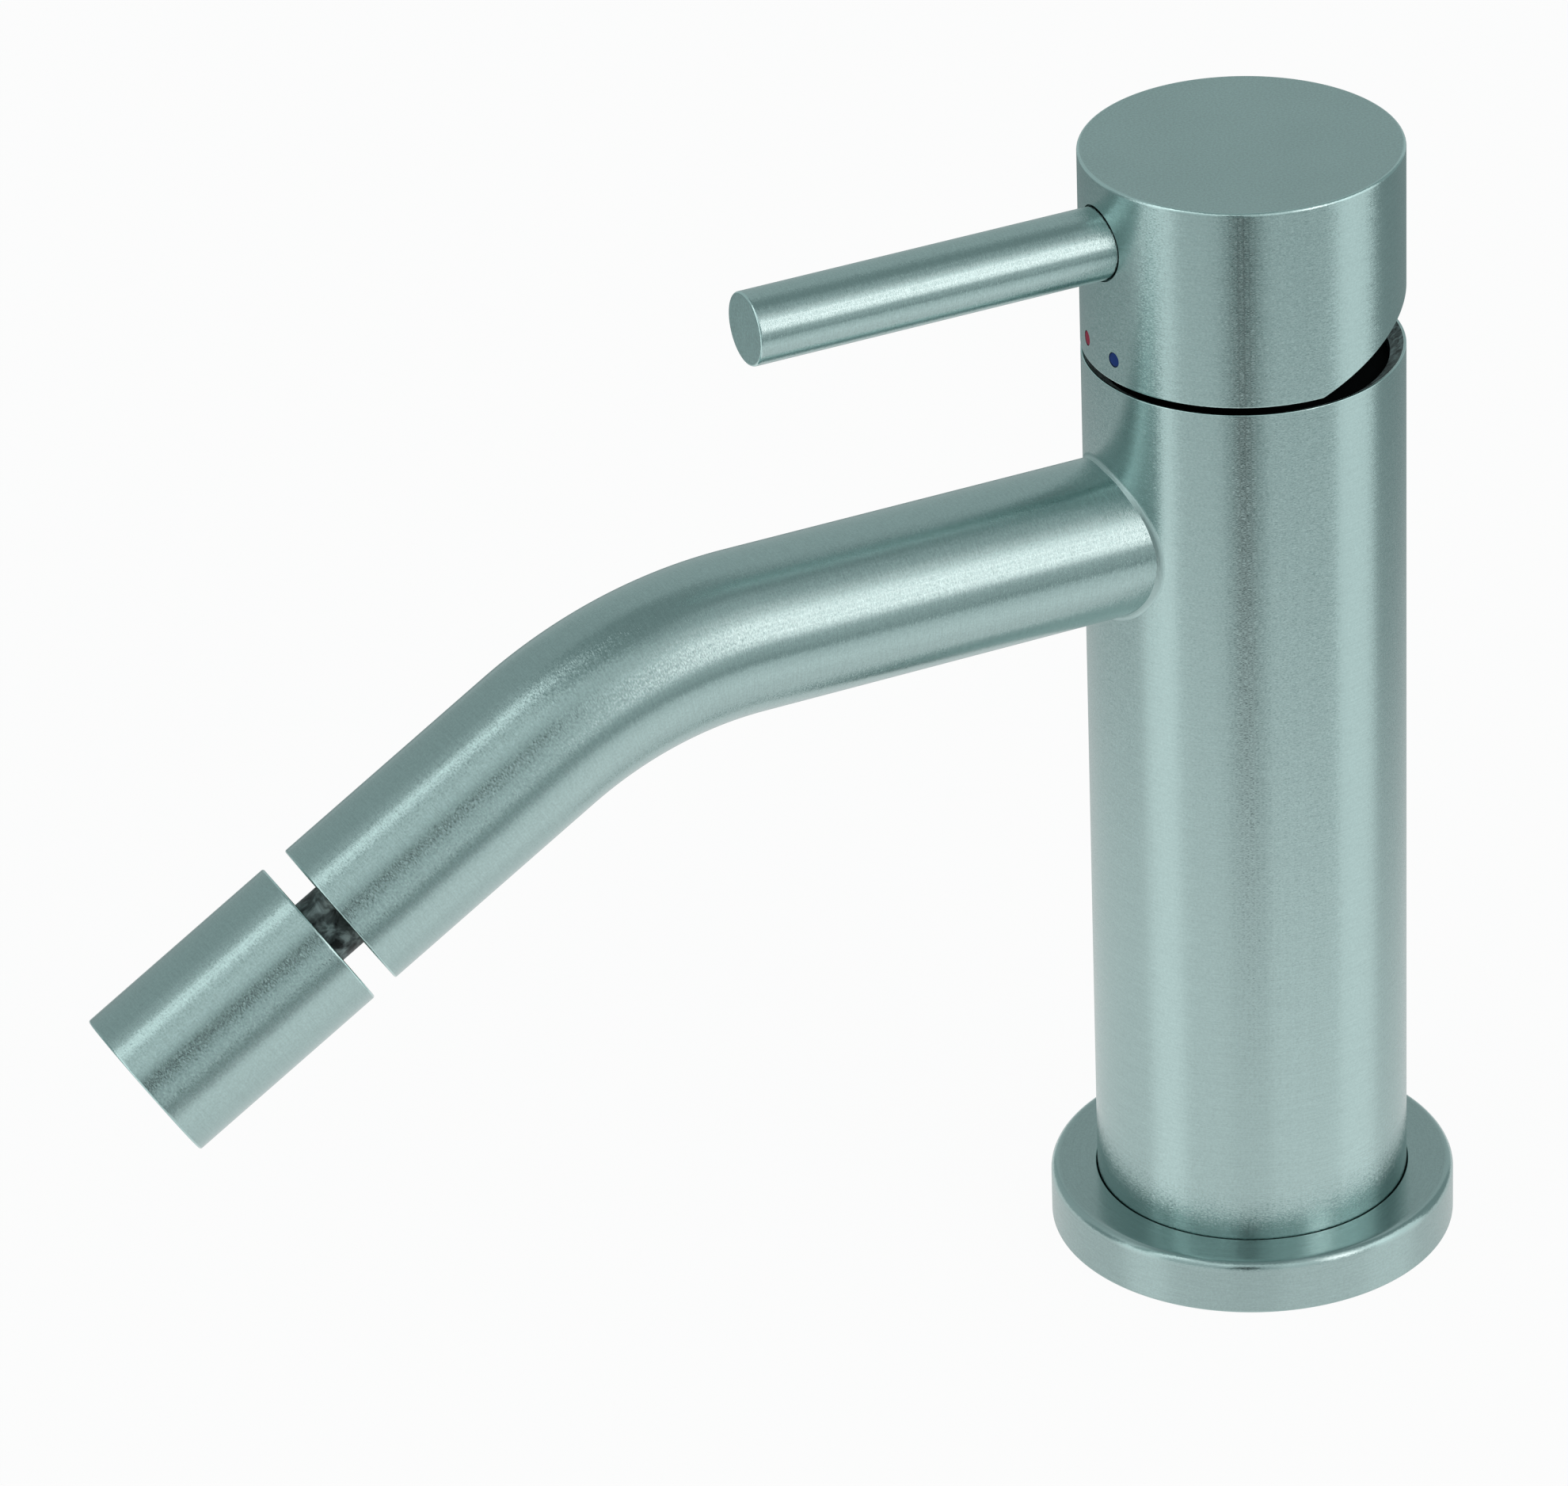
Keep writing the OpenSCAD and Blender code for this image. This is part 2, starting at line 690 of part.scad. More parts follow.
module cartridge_stem() {
    shank_step = 0.4;
    shank_r = tip_r - shank_step;
    color(brass) difference() {
        union() {
            translate([0, 0, tip_z]) sphere(d = tip_d);
            translate([0, 0, tip_z]) cylinder(r = shank_r, h = stem_arm);
            translate([-stem_w / 2, -stem_w / 2, pivot_z - stem_w / 2])
                cube([stem_w, stem_w, stem_top - pivot_z + stem_w / 2]);
        }
        translate([0, 0, pivot_z]) rotate([90, 0, 0])
            cylinder(r = pin_d / 2 + run_gap, h = body_d, center = true);
    }
}

module cartridge_housing() {
    color(plastic_white) difference() {
        translate([0, 0, fixed_z]) cylinder(r = cartridge_r, h = housing_top - fixed_z);
        translate([0, 0, fixed_z - over])
            cylinder(r = housing_in_r, h = shoulder_z + lift_gap - fixed_z + over);
        translate([0, 0, shoulder_z]) cylinder(r = rotor_neck_d / 2 + run_gap, h = body_top);
    }
}

module retaining_nut() {
    notch_w = 3;
    notch_h = 1.2;
    color(brass) difference() {
        translate([0, 0, nut_z0]) cylinder(r = nut_r, h = nut_top - nut_z0);
        translate([0, 0, nut_z0 - over]) cylinder(r = pocket_r, h = nut_skirt + over);
        translate([0, 0, nut_z0]) cylinder(d = nut_hole_d, h = body_top);
        for (turn = [0, 90]) rotate([0, 0, turn + 45]) translate([-nut_r, -notch_w / 2, nut_top - notch_h])
            cube([2 * nut_r, notch_w, notch_h + over]);
    }
}

// Handle

// Direction of a dot: hot is on the +Y side of the lever
module at_dot(side, depth) {
    rotate([0, 0, 180 - side * dot_angle]) translate([body_r - depth, 0, cap_z + dot_rise])
        rotate([0, 90, 0]) children();
}

module handle_cap() {
    socket_w = stem_w + 2 * seat_gap;
    color(steel) difference() {
        translate([0, 0, cap_z]) difference() {
            rounded_bar(body_r, cap_h, cap_edge);
            translate([0, 0, -over]) cylinder(r = cap_in_r, h = boss_rise + over);
            translate([0, 0, boss_rise]) difference() {
                cylinder(r = cap_in_r, h = cap_h - cap_top_wall - boss_rise);
                cylinder(d = boss_d, h = cap_h);
                translate([0, 0, lever_rise - boss_rise]) toward_spout() cylinder(d = bridge_d, h = body_r);
            }
        }
        translate([-socket_w / 2, -socket_w / 2, 0]) cube([socket_w, socket_w, stem_top + lift_gap]);
        translate([0, 0, lever_z]) toward_spout() cylinder(r = spigot_r + seat_gap, h = body_d);
        translate([-body_r + lever_sink, 0, lever_z]) toward_spout()
            cylinder(r = lever_r + run_gap, h = body_r);
        for (side = [1, -1]) at_dot(side, dot_h + seat_gap) cylinder(r = dot_d / 2 + seat_gap, h = body_r);
        translate([0, 0, cap_z]) rotate([0, -cap_cut, 0]) translate([0, -body_d, -body_d])
            cube([2 * body_d, 2 * body_d, body_d]);
    }
}

module dot(side) {
    intersection() {
        at_dot(side, dot_h) cylinder(d = dot_d, h = body_r);
        cylinder(r = body_r, h = cap_top);
    }
}

module hot_dot() {
    color([0.72, 0.03, 0.20]) dot(1);
}

module cold_dot() {
    color([0.05, 0.22, 0.60]) dot(-1);
}

module lever_rod() {
    root = body_r - lever_sink - seat_gap;
    color(steel) translate([0, 0, lever_z]) toward_spout() {
        translate([0, 0, root]) chamfered_bar(lever_r, lever_reach - root, lever_edge);
        translate([0, 0, spigot_x0]) cylinder(r = spigot_r, h = root - spigot_x0 + over);
    }
}

module handle_grub_screw() {
    key_d = 3;
    key_h = 2.4;
    color(dark_steel) translate([-grub_x0, 0, lever_z]) toward_spout() difference() {
        cylinder(r = spigot_r, h = grub_len);
        translate([0, 0, grub_len - key_h]) cylinder(d = key_d, h = key_h + over, $fn = 6);
    }
}

// Spout

// A straight run, a bend, and a straight end that laps a little into the bend
module spout_tube() {
    lap = 0.2;
    skin = 0.005;
    color(steel) {
        difference() {
            translate([0, 0, spout_z]) toward_spout() linear_extrude(spout_run) spout_section();
            cylinder(r = body_r, h = body_top);
        }
        at_bend() rotate_extrude(angle = bend_angle) translate([bend_r, 0]) spout_section();
        at_bend() rotate([0, 0, bend_angle]) translate([bend_r, -lap, 0]) rotate([-90, 0, 0])
            linear_extrude(spout_end + lap) spout_section(skin);
    }
}

// Concave weld fillet between the spout and the round column
weld_steps = 72;
weld_arc_steps = 4;

// Point of the fillet at a turn around the spout, at a distance from its axis and off the column
function weld_point(turn, out, off) =
    [-sqrt(pow(body_r + weld_gap, 2) - pow(out * sin(turn), 2)) - off, out * sin(turn),
        spout_z + out * cos(turn)];
function weld_out(slope) = spout_r + weld_gap + weld_w * (1 - cos(slope));
function weld_off(slope) = weld_w * (1 - sin(slope));
// One section: the corner of the two tubes, then the concave face
function weld_section(turn) = concat([weld_point(turn, spout_r + weld_gap, 0)],
    [for (k = [0 : weld_arc_steps]) let (slope = 90 * k / weld_arc_steps)
        weld_point(turn, weld_out(slope), weld_off(slope))]);

module spout_weld() {
    ring = weld_arc_steps + 2;
    points = [for (i = [0 : weld_steps - 1]) each weld_section(360 * i / weld_steps)];
    faces = [for (i = [0 : weld_steps - 1]) for (k = [0 : ring - 1]) let (
        a = i * ring + k,
        b = i * ring + (k + 1) % ring,
        c = ((i + 1) % weld_steps) * ring + (k + 1) % ring,
        d = ((i + 1) % weld_steps) * ring + k) each [[a, b, c], [a, c, d]]];
    color(steel) polyhedron(points = points, faces = faces);
}

module outlet_adapter() {
    ring_z = (adapter_z0 + collar_z0) / 2;
    notch_w = 2;
    notch_h = 1;
    color(brass) at_spout_tip() difference() {
        translate([0, 0, adapter_z0]) cylinder(r = spout_in_r - seat_gap, h = adapter_len);
        translate([0, 0, adapter_z0 - over]) cylinder(r = neck_r + run_gap, h = adapter_len + 2 * over);
        translate([0, 0, collar_z0 - seat_gap]) cylinder(r = collar_d / 2 + run_gap, h = adapter_len);
        translate([0, 0, ring_z - adapter_ring_d / 2 - ring_gap])
            cylinder(r = neck_r + run_gap + adapter_ring_d + ring_gap, h = adapter_ring_d + 2 * ring_gap);
        translate([-body_r, -notch_w / 2, adapter_z1 - notch_h]) cube([body_d, notch_w, notch_h + over]);
    }
}

module adapter_ring() {
    color(rubber) at_spout_tip() translate([0, 0, (adapter_z0 + collar_z0) / 2])
        round_ring(neck_r + run_gap + adapter_ring_d / 2, adapter_ring_d);
}

// Ball joint and nozzle

module ball_stem() {
    color(dark_steel) at_spout_tip() difference() {
        union() {
            translate([0, 0, ball_z]) sphere(r = ball_r);
            translate([0, 0, stem_z0]) cylinder(r = neck_r, h = ball_z - stem_z0);
            translate([0, 0, collar_z0]) cylinder(d = collar_d, h = collar_h);
        }
        translate([0, 0, ball_z + ball_flat]) cylinder(r = ball_r, h = ball_r);
        translate([0, 0, stem_z0 - over]) cylinder(d = ball_bore_d, h = ball_z + ball_r - stem_z0 + 2 * over);
        translate([0, 0, clip_z0 - seat_gap]) tube(body_r, neck_r - clip_groove, clip_h + 2 * seat_gap);
    }
}

module stem_clip() {
    opening = 5;
    color(steel) at_spout_tip() translate([0, 0, clip_z0]) difference() {
        tube(clip_d / 2, neck_r - clip_groove + seat_gap, clip_h);
        translate([0, -opening / 2, -over]) cube([clip_d, opening, clip_h + 2 * over]);
    }
}

// A ring around the ball between two heights, hollowed to the ball's shape
module ball_cup(z0, h) {
    at_spout_tip() difference() {
        translate([0, 0, z0]) cylinder(r = ring_r, h = h);
        translate([0, 0, ball_z]) sphere(r = ball_r + run_gap);
    }
}

module ball_seat() {
    color(plastic_white) ball_cup(seat_z0, seat_rise + seat_below);
}

module ball_seal() {
    color(rubber) ball_cup(seal_z0, ball_seal_h);
}

module seat_retainer() {
    notch_w = 2.4;
    notch_h = 1;
    color(brass) at_spout_tip() translate([0, 0, seal_z1]) difference() {
        tube(ring_r, retainer_hole_d / 2, retainer_h);
        translate([-body_r, -notch_w / 2, retainer_h - notch_h]) cube([body_d, notch_w, notch_h + over]);
    }
}

module nozzle_shell() {
    lip_h = seat_z0 - nozzle_z;
    lip_low_r = swept_r(seat_rise) + swing_gap;
    lip_top_r = swept_r(ball_depth) + swing_gap;
    color(steel) at_spout_tip() difference() {
        translate([0, 0, nozzle_z]) {
            cylinder(r1 = nozzle_r - nozzle_edge, r2 = nozzle_r, h = nozzle_edge);
            translate([0, 0, nozzle_edge]) chamfered_bar(nozzle_r, nozzle_len - nozzle_edge, nozzle_edge);
        }
        translate([0, 0, nozzle_z]) cylinder(r1 = lip_top_r, r2 = lip_low_r, h = lip_h);
        translate([0, 0, seat_z0]) cylinder(r = nozzle_bore_r, h = nozzle_len);
        translate([0, 0, seat_z0 - over / 2]) cylinder(r = lip_low_r, h = over);
        translate([0, 0, nozzle_z - over]) cylinder(r = lip_top_r, h = over);
    }
}

module aerator_gasket() {
    color(rubber) at_spout_tip() translate([0, 0, retainer_z1])
        tube(aerator_r, retainer_hole_d / 2, aerator_gasket_h);
}

module aerator_housing() {
    color(plastic_white) at_spout_tip() difference() {
        translate([0, 0, gasket_z1]) cylinder(r = aerator_r, h = aerator_z1 - gasket_z1);
        translate([0, 0, gasket_z1 - over]) cylinder(r = aerator_in_r, h = regulator_z1 - gasket_z1 + over);
        translate([0, 0, gasket_z1]) cylinder(r = aerator_in_r - aerator_lip, h = nozzle_len);
        translate([0, 0, regulator_z1 + step_h])
            cylinder(r = aerator_in_r, h = grid_z1 - regulator_z1 - step_h);
    }
}

// Rings of round holes around the axis
module hole_rings(count, ring_step, hole_d, h) {
    translate([0, 0, -over]) {
        cylinder(d = hole_d, h = h + 2 * over, $fn = 16);
        for (k = [1 : count]) for (i = [0 : 6 * k - 1])
            rotate([0, 0, 60 * i / k]) translate([k * ring_step, 0, 0])
                cylinder(d = hole_d, h = h + 2 * over, $fn = 16);
    }
}

module inlet_screen() {
    rings = 3;
    ring_step = 1.9;
    hole_d = 0.8;
    color(steel) at_spout_tip() translate([0, 0, screen_z0]) difference() {
        cylinder(r = insert_in_r, h = screen_h);
        hole_rings(rings, ring_step, hole_d, screen_h);
    }
}

module flow_regulator() {
    hub_r = 2.2;
    hole_d = 1.1;
    holes = 10;
    color(plastic_grey) at_spout_tip() translate([0, 0, regulator_z0]) difference() {
        cylinder(r = insert_in_r, h = regulator_h);
        for (i = [0 : holes - 1]) rotate([0, 0, 360 * i / holes])
            translate([(insert_in_r + hub_r) / 2, 0, -over])
                cylinder(d = hole_d, h = regulator_h + 2 * over);
        translate([0, 0, regulator_h / 2]) cylinder(r = hub_r, h = regulator_h);
    }
}

// Honeycomb that shapes the jet, seen at the nozzle's tip
module outlet_grid() {
    rows = 3;
    hex_turn = 30;
    row_step = grid_pitch * cos(hex_turn);
    cell_d = (grid_pitch - grid_web) / cos(hex_turn);
    color(plastic_white) at_spout_tip() translate([0, 0, grid_z0]) difference() {
        cylinder(r = insert_in_r, h = grid_h);
        for (row = [-rows : rows]) for (i = [0 : 2 * rows - abs(row)])
            translate([(i - rows + abs(row) / 2) * grid_pitch, row * row_step, -over])
                rotate([0, 0, hex_turn]) cylinder(d = cell_d, h = grid_h + 2 * over, $fn = 6);
    }
}

body_tube();
base_flange();
flange_ring();
base_gasket();
inlet_base();
hot_riser();
cold_riser();
riser_rings();
cartridge_holder();
holder_rings();
cartridge_base();
port_seals();
disc_seals();
fixed_disc();
moving_disc();
disc_carrier();
mixer_rotor();
pivot_pin();
cartridge_stem();
cartridge_housing();
retaining_nut();
handle_cap();
lever_rod();
handle_grub_screw();
hot_dot();
cold_dot();
spout_tube();
spout_weld();
outlet_adapter();
adapter_ring();
ball_stem();
stem_clip();
ball_seat();
ball_seal();
seat_retainer();
nozzle_shell();
aerator_gasket();
aerator_housing();
inlet_screen();
flow_regulator();
outlet_grid();
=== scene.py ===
import math

import bmesh
import bpy
import numpy as np
from mathutils import Matrix, Vector


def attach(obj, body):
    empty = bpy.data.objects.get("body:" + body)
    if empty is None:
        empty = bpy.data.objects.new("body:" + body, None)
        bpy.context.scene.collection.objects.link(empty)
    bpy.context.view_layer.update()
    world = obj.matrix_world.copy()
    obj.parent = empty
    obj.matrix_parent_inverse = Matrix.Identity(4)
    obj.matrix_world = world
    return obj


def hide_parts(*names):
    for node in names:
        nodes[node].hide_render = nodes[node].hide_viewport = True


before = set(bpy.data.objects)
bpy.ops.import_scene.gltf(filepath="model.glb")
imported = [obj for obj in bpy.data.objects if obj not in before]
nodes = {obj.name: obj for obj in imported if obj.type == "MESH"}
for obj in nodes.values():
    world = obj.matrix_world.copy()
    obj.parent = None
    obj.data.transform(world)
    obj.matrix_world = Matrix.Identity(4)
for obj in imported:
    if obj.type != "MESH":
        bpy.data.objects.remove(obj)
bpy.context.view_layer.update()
scene = bpy.context.scene
scene.view_settings.view_transform = "Standard"

# Camera: a long lens at the mixer's cold side, turned a little towards the spout's end, and
# looking down by 29 degrees. Its place, its lens and its small roll come from a fit to the
# edges in the photograph.
camera_turn = math.radians(-24.54)
camera_elevation = math.radians(28.966)
camera_distance = 1.01529
camera_target = Vector((-0.066838, -0.005824, 0.089722))
camera_roll = math.radians(-2.369)
look = -Vector((math.sin(camera_turn) * math.cos(camera_elevation),
                -math.cos(camera_turn) * math.cos(camera_elevation),
                math.sin(camera_elevation)))
level_right = look.cross(Vector((0, 0, 1))).normalized()
level_up = level_right.cross(look)
image_right = math.cos(camera_roll) * level_right + math.sin(camera_roll) * level_up
image_up = -math.sin(camera_roll) * level_right + math.cos(camera_roll) * level_up
camera_place = Matrix((image_right, image_up, -look)).transposed().to_4x4()
camera_place.translation = camera_target - camera_distance * look
camera_data = bpy.data.cameras.new("camera")
camera_data.lens = 192.01
camera_data.sensor_width = 36
camera_data.clip_start = 0.05
camera_data.clip_end = 20
camera = bpy.data.objects.new("camera", camera_data)
camera.matrix_world = camera_place
scene.collection.objects.link(camera)
scene.camera = camera

# Soft boxes: upright panels round the mixer. A strip at each side makes the bright bands on the
# round pieces, and dimmer panels fill in between them and above. Three keys to the camera's
# right light the spout and the lever, and two dim panels stand behind.
front = Vector((-look.x, -look.y, 0)).normalized()
middle = Vector((-0.03, 0, 0.08))
panel_distance = 1.2
plain, warm = (1.0, 1.0, 1.0), (1.0, 0.84, 0.84)


def softbox(name, turn, spread, low, high, radiance, colour=plain):
    """An upright panel. Its turn from the camera's side and its spans are in degrees."""
    bottom = panel_distance * math.tan(math.radians(low))
    top = panel_distance * math.tan(math.radians(high))
    width = 2 * panel_distance * math.tan(math.radians(spread / 2))
    data = bpy.data.lights.new(name, "AREA")
    data.shape = "RECTANGLE"
    data.size = width
    data.size_y = top - bottom
    data.energy = radiance * math.pi * width * (top - bottom) / min(colour)
    data.color = colour
    light = bpy.data.objects.new(name, data)
    way = math.cos(math.radians(turn)) * front + math.sin(math.radians(turn)) * level_right
    light.location = middle + way * panel_distance + Vector((0, 0, (bottom + top) / 2))
    light.rotation_mode = "QUATERNION"
    light.rotation_quaternion = (-way).to_track_quat("-Z", "Y")
    light.visible_camera = False
    scene.collection.objects.link(light)


softbox("strip_left", turn=-67, spread=27, low=-50, high=67, radiance=0.70)
softbox("strip_right", turn=82, spread=36, low=-50, high=40, radiance=0.62)
softbox("fill_left", turn=-35, spread=38, low=-36, high=60, radiance=0.24)
softbox("fill_right", turn=37, spread=50, low=-46, high=-19, radiance=0.33)
softbox("fill_right_top", turn=37, spread=50, low=-12, high=45, radiance=0.16)
softbox("top_left", turn=-60, spread=88, low=38, high=67, radiance=0.26)
softbox("key", turn=48, spread=16, low=9, high=38, radiance=0.80, colour=warm)
softbox("key_edge", turn=50, spread=26, low=5, high=54, radiance=0.36, colour=warm)
softbox("front_top", turn=6, spread=52, low=34, high=62, radiance=0.31)
softbox("front_right", turn=18, spread=32, low=-4, high=36, radiance=0.22)
softbox("key_soft", turn=58, spread=46, low=5, high=74, radiance=0.24)
softbox("back_left", turn=-128, spread=46, low=-8, high=62, radiance=0.12)
softbox("back", turn=172, spread=70, low=-12, high=62, radiance=0.17)

# Stage: a plain pale floor in a grey room. The camera sees both white, with the mixer's soft
# shadow. Reflections show the white floor close to the mixer, and the panels through it
# further out.
white, paper_grey, room_grey = (1.0, 1.0, 1.0), (0.9, 0.9, 0.9), (0.24, 0.30, 0.30)
floor_half = 4.0
floor_centre = (-0.05, 0, 0)
floor_near, floor_far, floor_share = 0.05, 0.34, 0.66
glow_share = 0.95


class Value:
    """A shader socket that Python's arithmetic works on."""

    def __init__(self, finish, socket):
        self.finish = finish
        self.socket = socket

    def __add__(self, other):
        return self.finish.maths("ADD", self, other)

    def __radd__(self, other):
        return self.finish.maths("ADD", other, self)

    def __sub__(self, other):
        return self.finish.maths("SUBTRACT", self, other)

    def __rsub__(self, other):
        return self.finish.maths("SUBTRACT", other, self)

    def __mul__(self, other):
        return self.finish.maths("MULTIPLY", self, other)

    def __rmul__(self, other):
        return self.finish.maths("MULTIPLY", other, self)


class Finish:
    """The nodes of one material, or of the room round the mixer."""

    def __init__(self, name, owner=None):
        self.owner = owner or bpy.data.materials.new(name)
        self.owner.use_nodes = True
        self.tree = self.owner.node_tree
        self.tree.nodes.clear()

    def node(self, kind, settings=None, sockets=None, out=0):
        """A new node with its settings, the stops of a colour ramp among them, and its inputs."""
        made = self.tree.nodes.new(kind)
        for key, value in (settings or {}).items():
            if key == "stops":
                ramp = made.color_ramp.elements
                while len(ramp) < len(value):
                    ramp.new(1.0)
                for stop, (at, colour) in zip(ramp, value):
                    stop.position = at
                    stop.color = colour
            else:
                setattr(made, key, value)
        for key, value in (sockets or {}).items():
            socket = made.inputs[key]
            if isinstance(value, Value):
                self.tree.links.new(value.socket, socket)
            else:
                socket.default_value = value
        return Value(self, made.outputs[out]) if made.outputs else None

    def maths(self, operation, *values):
        return self.node("ShaderNodeMath", {"operation": operation}, dict(enumerate(values)))

    def vector(self, operation, *values, out=0):
        sockets = dict(enumerate(values))
        return self.node("ShaderNodeVectorMath", {"operation": operation}, sockets, out)

    def scaled(self, vector, share):
        return self.node("ShaderNodeVectorMath", {"operation": "SCALE"}, {0: vector, 3: share})

    def mix(self, factor, a, b):
        return self.node("ShaderNodeMix", {"data_type": "RGBA"}, {0: factor, 6: a, 7: b}, 2)

    def mix_shader(self, factor, a, b):
        return self.node("ShaderNodeMixShader", None, {0: factor, 1: a, 2: b})

    def place(self):
        """Where a point is on the piece, in metres."""
        return self.node("ShaderNodeTexCoord", out="Object")

    def surface(self, **sockets):
        shader = self.node("ShaderNodeBsdfPrincipled", None, sockets)
        self.node("ShaderNodeOutputMaterial", None, {"Surface": shader})
        return self.owner


def shade(colour, share):
    """The colour made darker, or lighter up to white."""
    return tuple(min(1.0, share * c) for c in colour)


def rgba(colour, share=1.0):
    return (*shade(colour, share), 1.0)


world = bpy.data.worlds.new("studio")
scene.world = world
room = Finish("studio", world)
backdrop = room.node("ShaderNodeBackground", None, {"Color": rgba(white)})
walls = room.node("ShaderNodeBackground", None, {"Color": rgba(room_grey)})
camera_ray = room.node("ShaderNodeLightPath", out="Is Camera Ray")
room.node("ShaderNodeOutputWorld", None, {"Surface": room.mix_shader(camera_ray, walls, backdrop)})

floor_mesh = bpy.data.meshes.new("floor")
floor_mesh.from_pydata([(-floor_half, -floor_half, 0), (floor_half, -floor_half, 0),
                        (floor_half, floor_half, 0), (-floor_half, floor_half, 0)],
                       [], [(0, 1, 2, 3)])
floor = bpy.data.objects.new("floor", floor_mesh)
scene.collection.objects.link(floor)
f = Finish("floor_paint")
camera_ray = f.node("ShaderNodeLightPath", out="Is Camera Ray")
glossy_ray = f.node("ShaderNodeLightPath", out="Is Glossy Ray")
shadow_ray = f.node("ShaderNodeLightPath", out="Is Shadow Ray")
paper = f.node("ShaderNodeBsdfDiffuse", None, {"Color": rgba(paper_grey)})
glow = f.node("ShaderNodeEmission", None, {"Color": rgba(white), "Strength": 1.0})
clear = f.node("ShaderNodeBsdfTransparent")
away = f.vector("DISTANCE", f.place(), floor_centre, out="Value")
fade = f.node("ShaderNodeMapRange", {"interpolation_type": "SMOOTHSTEP"},
              {0: away, 1: floor_near, 2: floor_far, 3: 1 - floor_share, 4: 1.0})
seen = f.mix_shader(f.maths("MAXIMUM", camera_ray, glossy_ray) * glow_share, paper, glow)
open_to = f.maths("MAXIMUM", glossy_ray * fade, shadow_ray)
f.node("ShaderNodeOutputMaterial", None, {"Surface": f.mix_shader(open_to, seen, clear)})
floor_mesh.materials.append(f.owner)

# Black cards: they stand for the gap round the camera, which the round pieces show as a dark
# band down their middle. Only reflections show them. One lies under the floor, which is clear
# to reflections there, and one stands upright.
low_card_near, low_card_far, low_card_turn, low_card_drop = 0.19, 0.60, math.radians(5.6), -0.001
high_card_away, high_card_bottom, high_card_top = 1.1, 0.20, 0.70
high_card_left, high_card_right = math.radians(-10), math.radians(2.5)
to_camera = Vector((camera_place.translation.x, camera_place.translation.y, 0)).normalized()
beside = Vector((-to_camera.y, to_camera.x, 0))


def card_corner(away, turn, height):
    """A point at that height, away from the column's axis and turned from the camera's side."""
    return tuple(away * (to_camera + math.tan(turn) * beside) + Vector((0, 0, height)))


card_mesh = bpy.data.meshes.new("card")
card_mesh.from_pydata(
    [card_corner(low_card_near, -low_card_turn, low_card_drop),
     card_corner(low_card_far, -low_card_turn, low_card_drop),
     card_corner(low_card_far, low_card_turn, low_card_drop),
     card_corner(low_card_near, low_card_turn, low_card_drop),
     card_corner(high_card_away, high_card_left, high_card_bottom),
     card_corner(high_card_away, high_card_right, high_card_bottom),
     card_corner(high_card_away, high_card_right, high_card_top),
     card_corner(high_card_away, high_card_left, high_card_top)],
    [], [(0, 1, 2, 3), (4, 5, 6, 7)])
card = bpy.data.objects.new("card", card_mesh)
card.visible_camera = False
card.visible_diffuse = False
card.visible_shadow = False
scene.collection.objects.link(card)
card_mesh.materials.append(Finish("card_paint").surface(**{
    "Base Color": (0.01, 0.01, 0.01, 1.0), "Specular IOR Level": 0.0}))

# Column: a 40 mm stainless tube with a 2 mm wall, cut square, its edges broken, and ground
# on a belt while it turns, so that fine scratches run round it.
column_r, column_bore, column_foot, column_top = 0.020, 0.018, 0.0026, 0.12495
rim_w, rim_drop, rim_edge = 0.0003, 0.0012, 0.00012
edge_break, fine_edge = 0.0003, 0.0001
spout_z, spout_bore, spout_hole_start, spout_hole_end = 0.1031, 0.0086, 0.0002, 0.03
steel = (0.470, 0.610, 0.598)
arc_steps, support_share = 6, 0.3
smooth_angle = math.radians(32)
hairline = 0.00005


def corners(*points):
    """Outline from (radius, height, rounding) corners: a list of (radius, height, on an edge),
    where on an edge sets the painted edge highlight.

    A point just outside each rounding keeps the shading of the flat runs beside it true.
    """
    outline = []
    for i, (r, z, rounding) in enumerate(points):
        if not rounding:
            outline.append((r, z, 0.0))
            continue
        here = Vector((r, z))
        before = (Vector(points[i - 1][:2]) - here).normalized()
        after = (Vector(points[(i + 1) % len(points)][:2]) - here).normalized()
        half_turn = before.angle(after) / 2
        reach = rounding / math.tan(half_turn)
        centre = here + (before + after).normalized() * rounding / math.sin(half_turn)
        start = here + before * reach - centre
        end = here + after * reach - centre
        swing = start.angle_signed(end)
        spot = centre + start + before * support_share * rounding
        outline.append((spot.x, spot.y, 0.0))
        for k in range(arc_steps + 1):
            spot = centre + Matrix.Rotation(-swing * k / arc_steps, 2) @ start
            outline.append((spot.x, spot.y, math.sin(math.pi * k / arc_steps)))
        spot = centre + end + after * support_share * rounding
        outline.append((spot.x, spot.y, 0.0))
    return outline


def subdivided(outline, longest, closed):
    """The same outline with its long runs cut into shorter ones."""
    out = []
    last = len(outline) if closed else len(outline) - 1
    for i in range(last):
        (r0, z0, e0), (r1, z1, e1) = outline[i], outline[(i + 1) % len(outline)]
        n = max(1, math.ceil(math.hypot(r1 - r0, z1 - z0) / longest))
        out += [(r0 + (r1 - r0) * k / n, z0 + (z1 - z0) * k / n, e0 if k == 0 else 0.0)
                for k in range(n)]
    return out if closed else out + [outline[-1]]


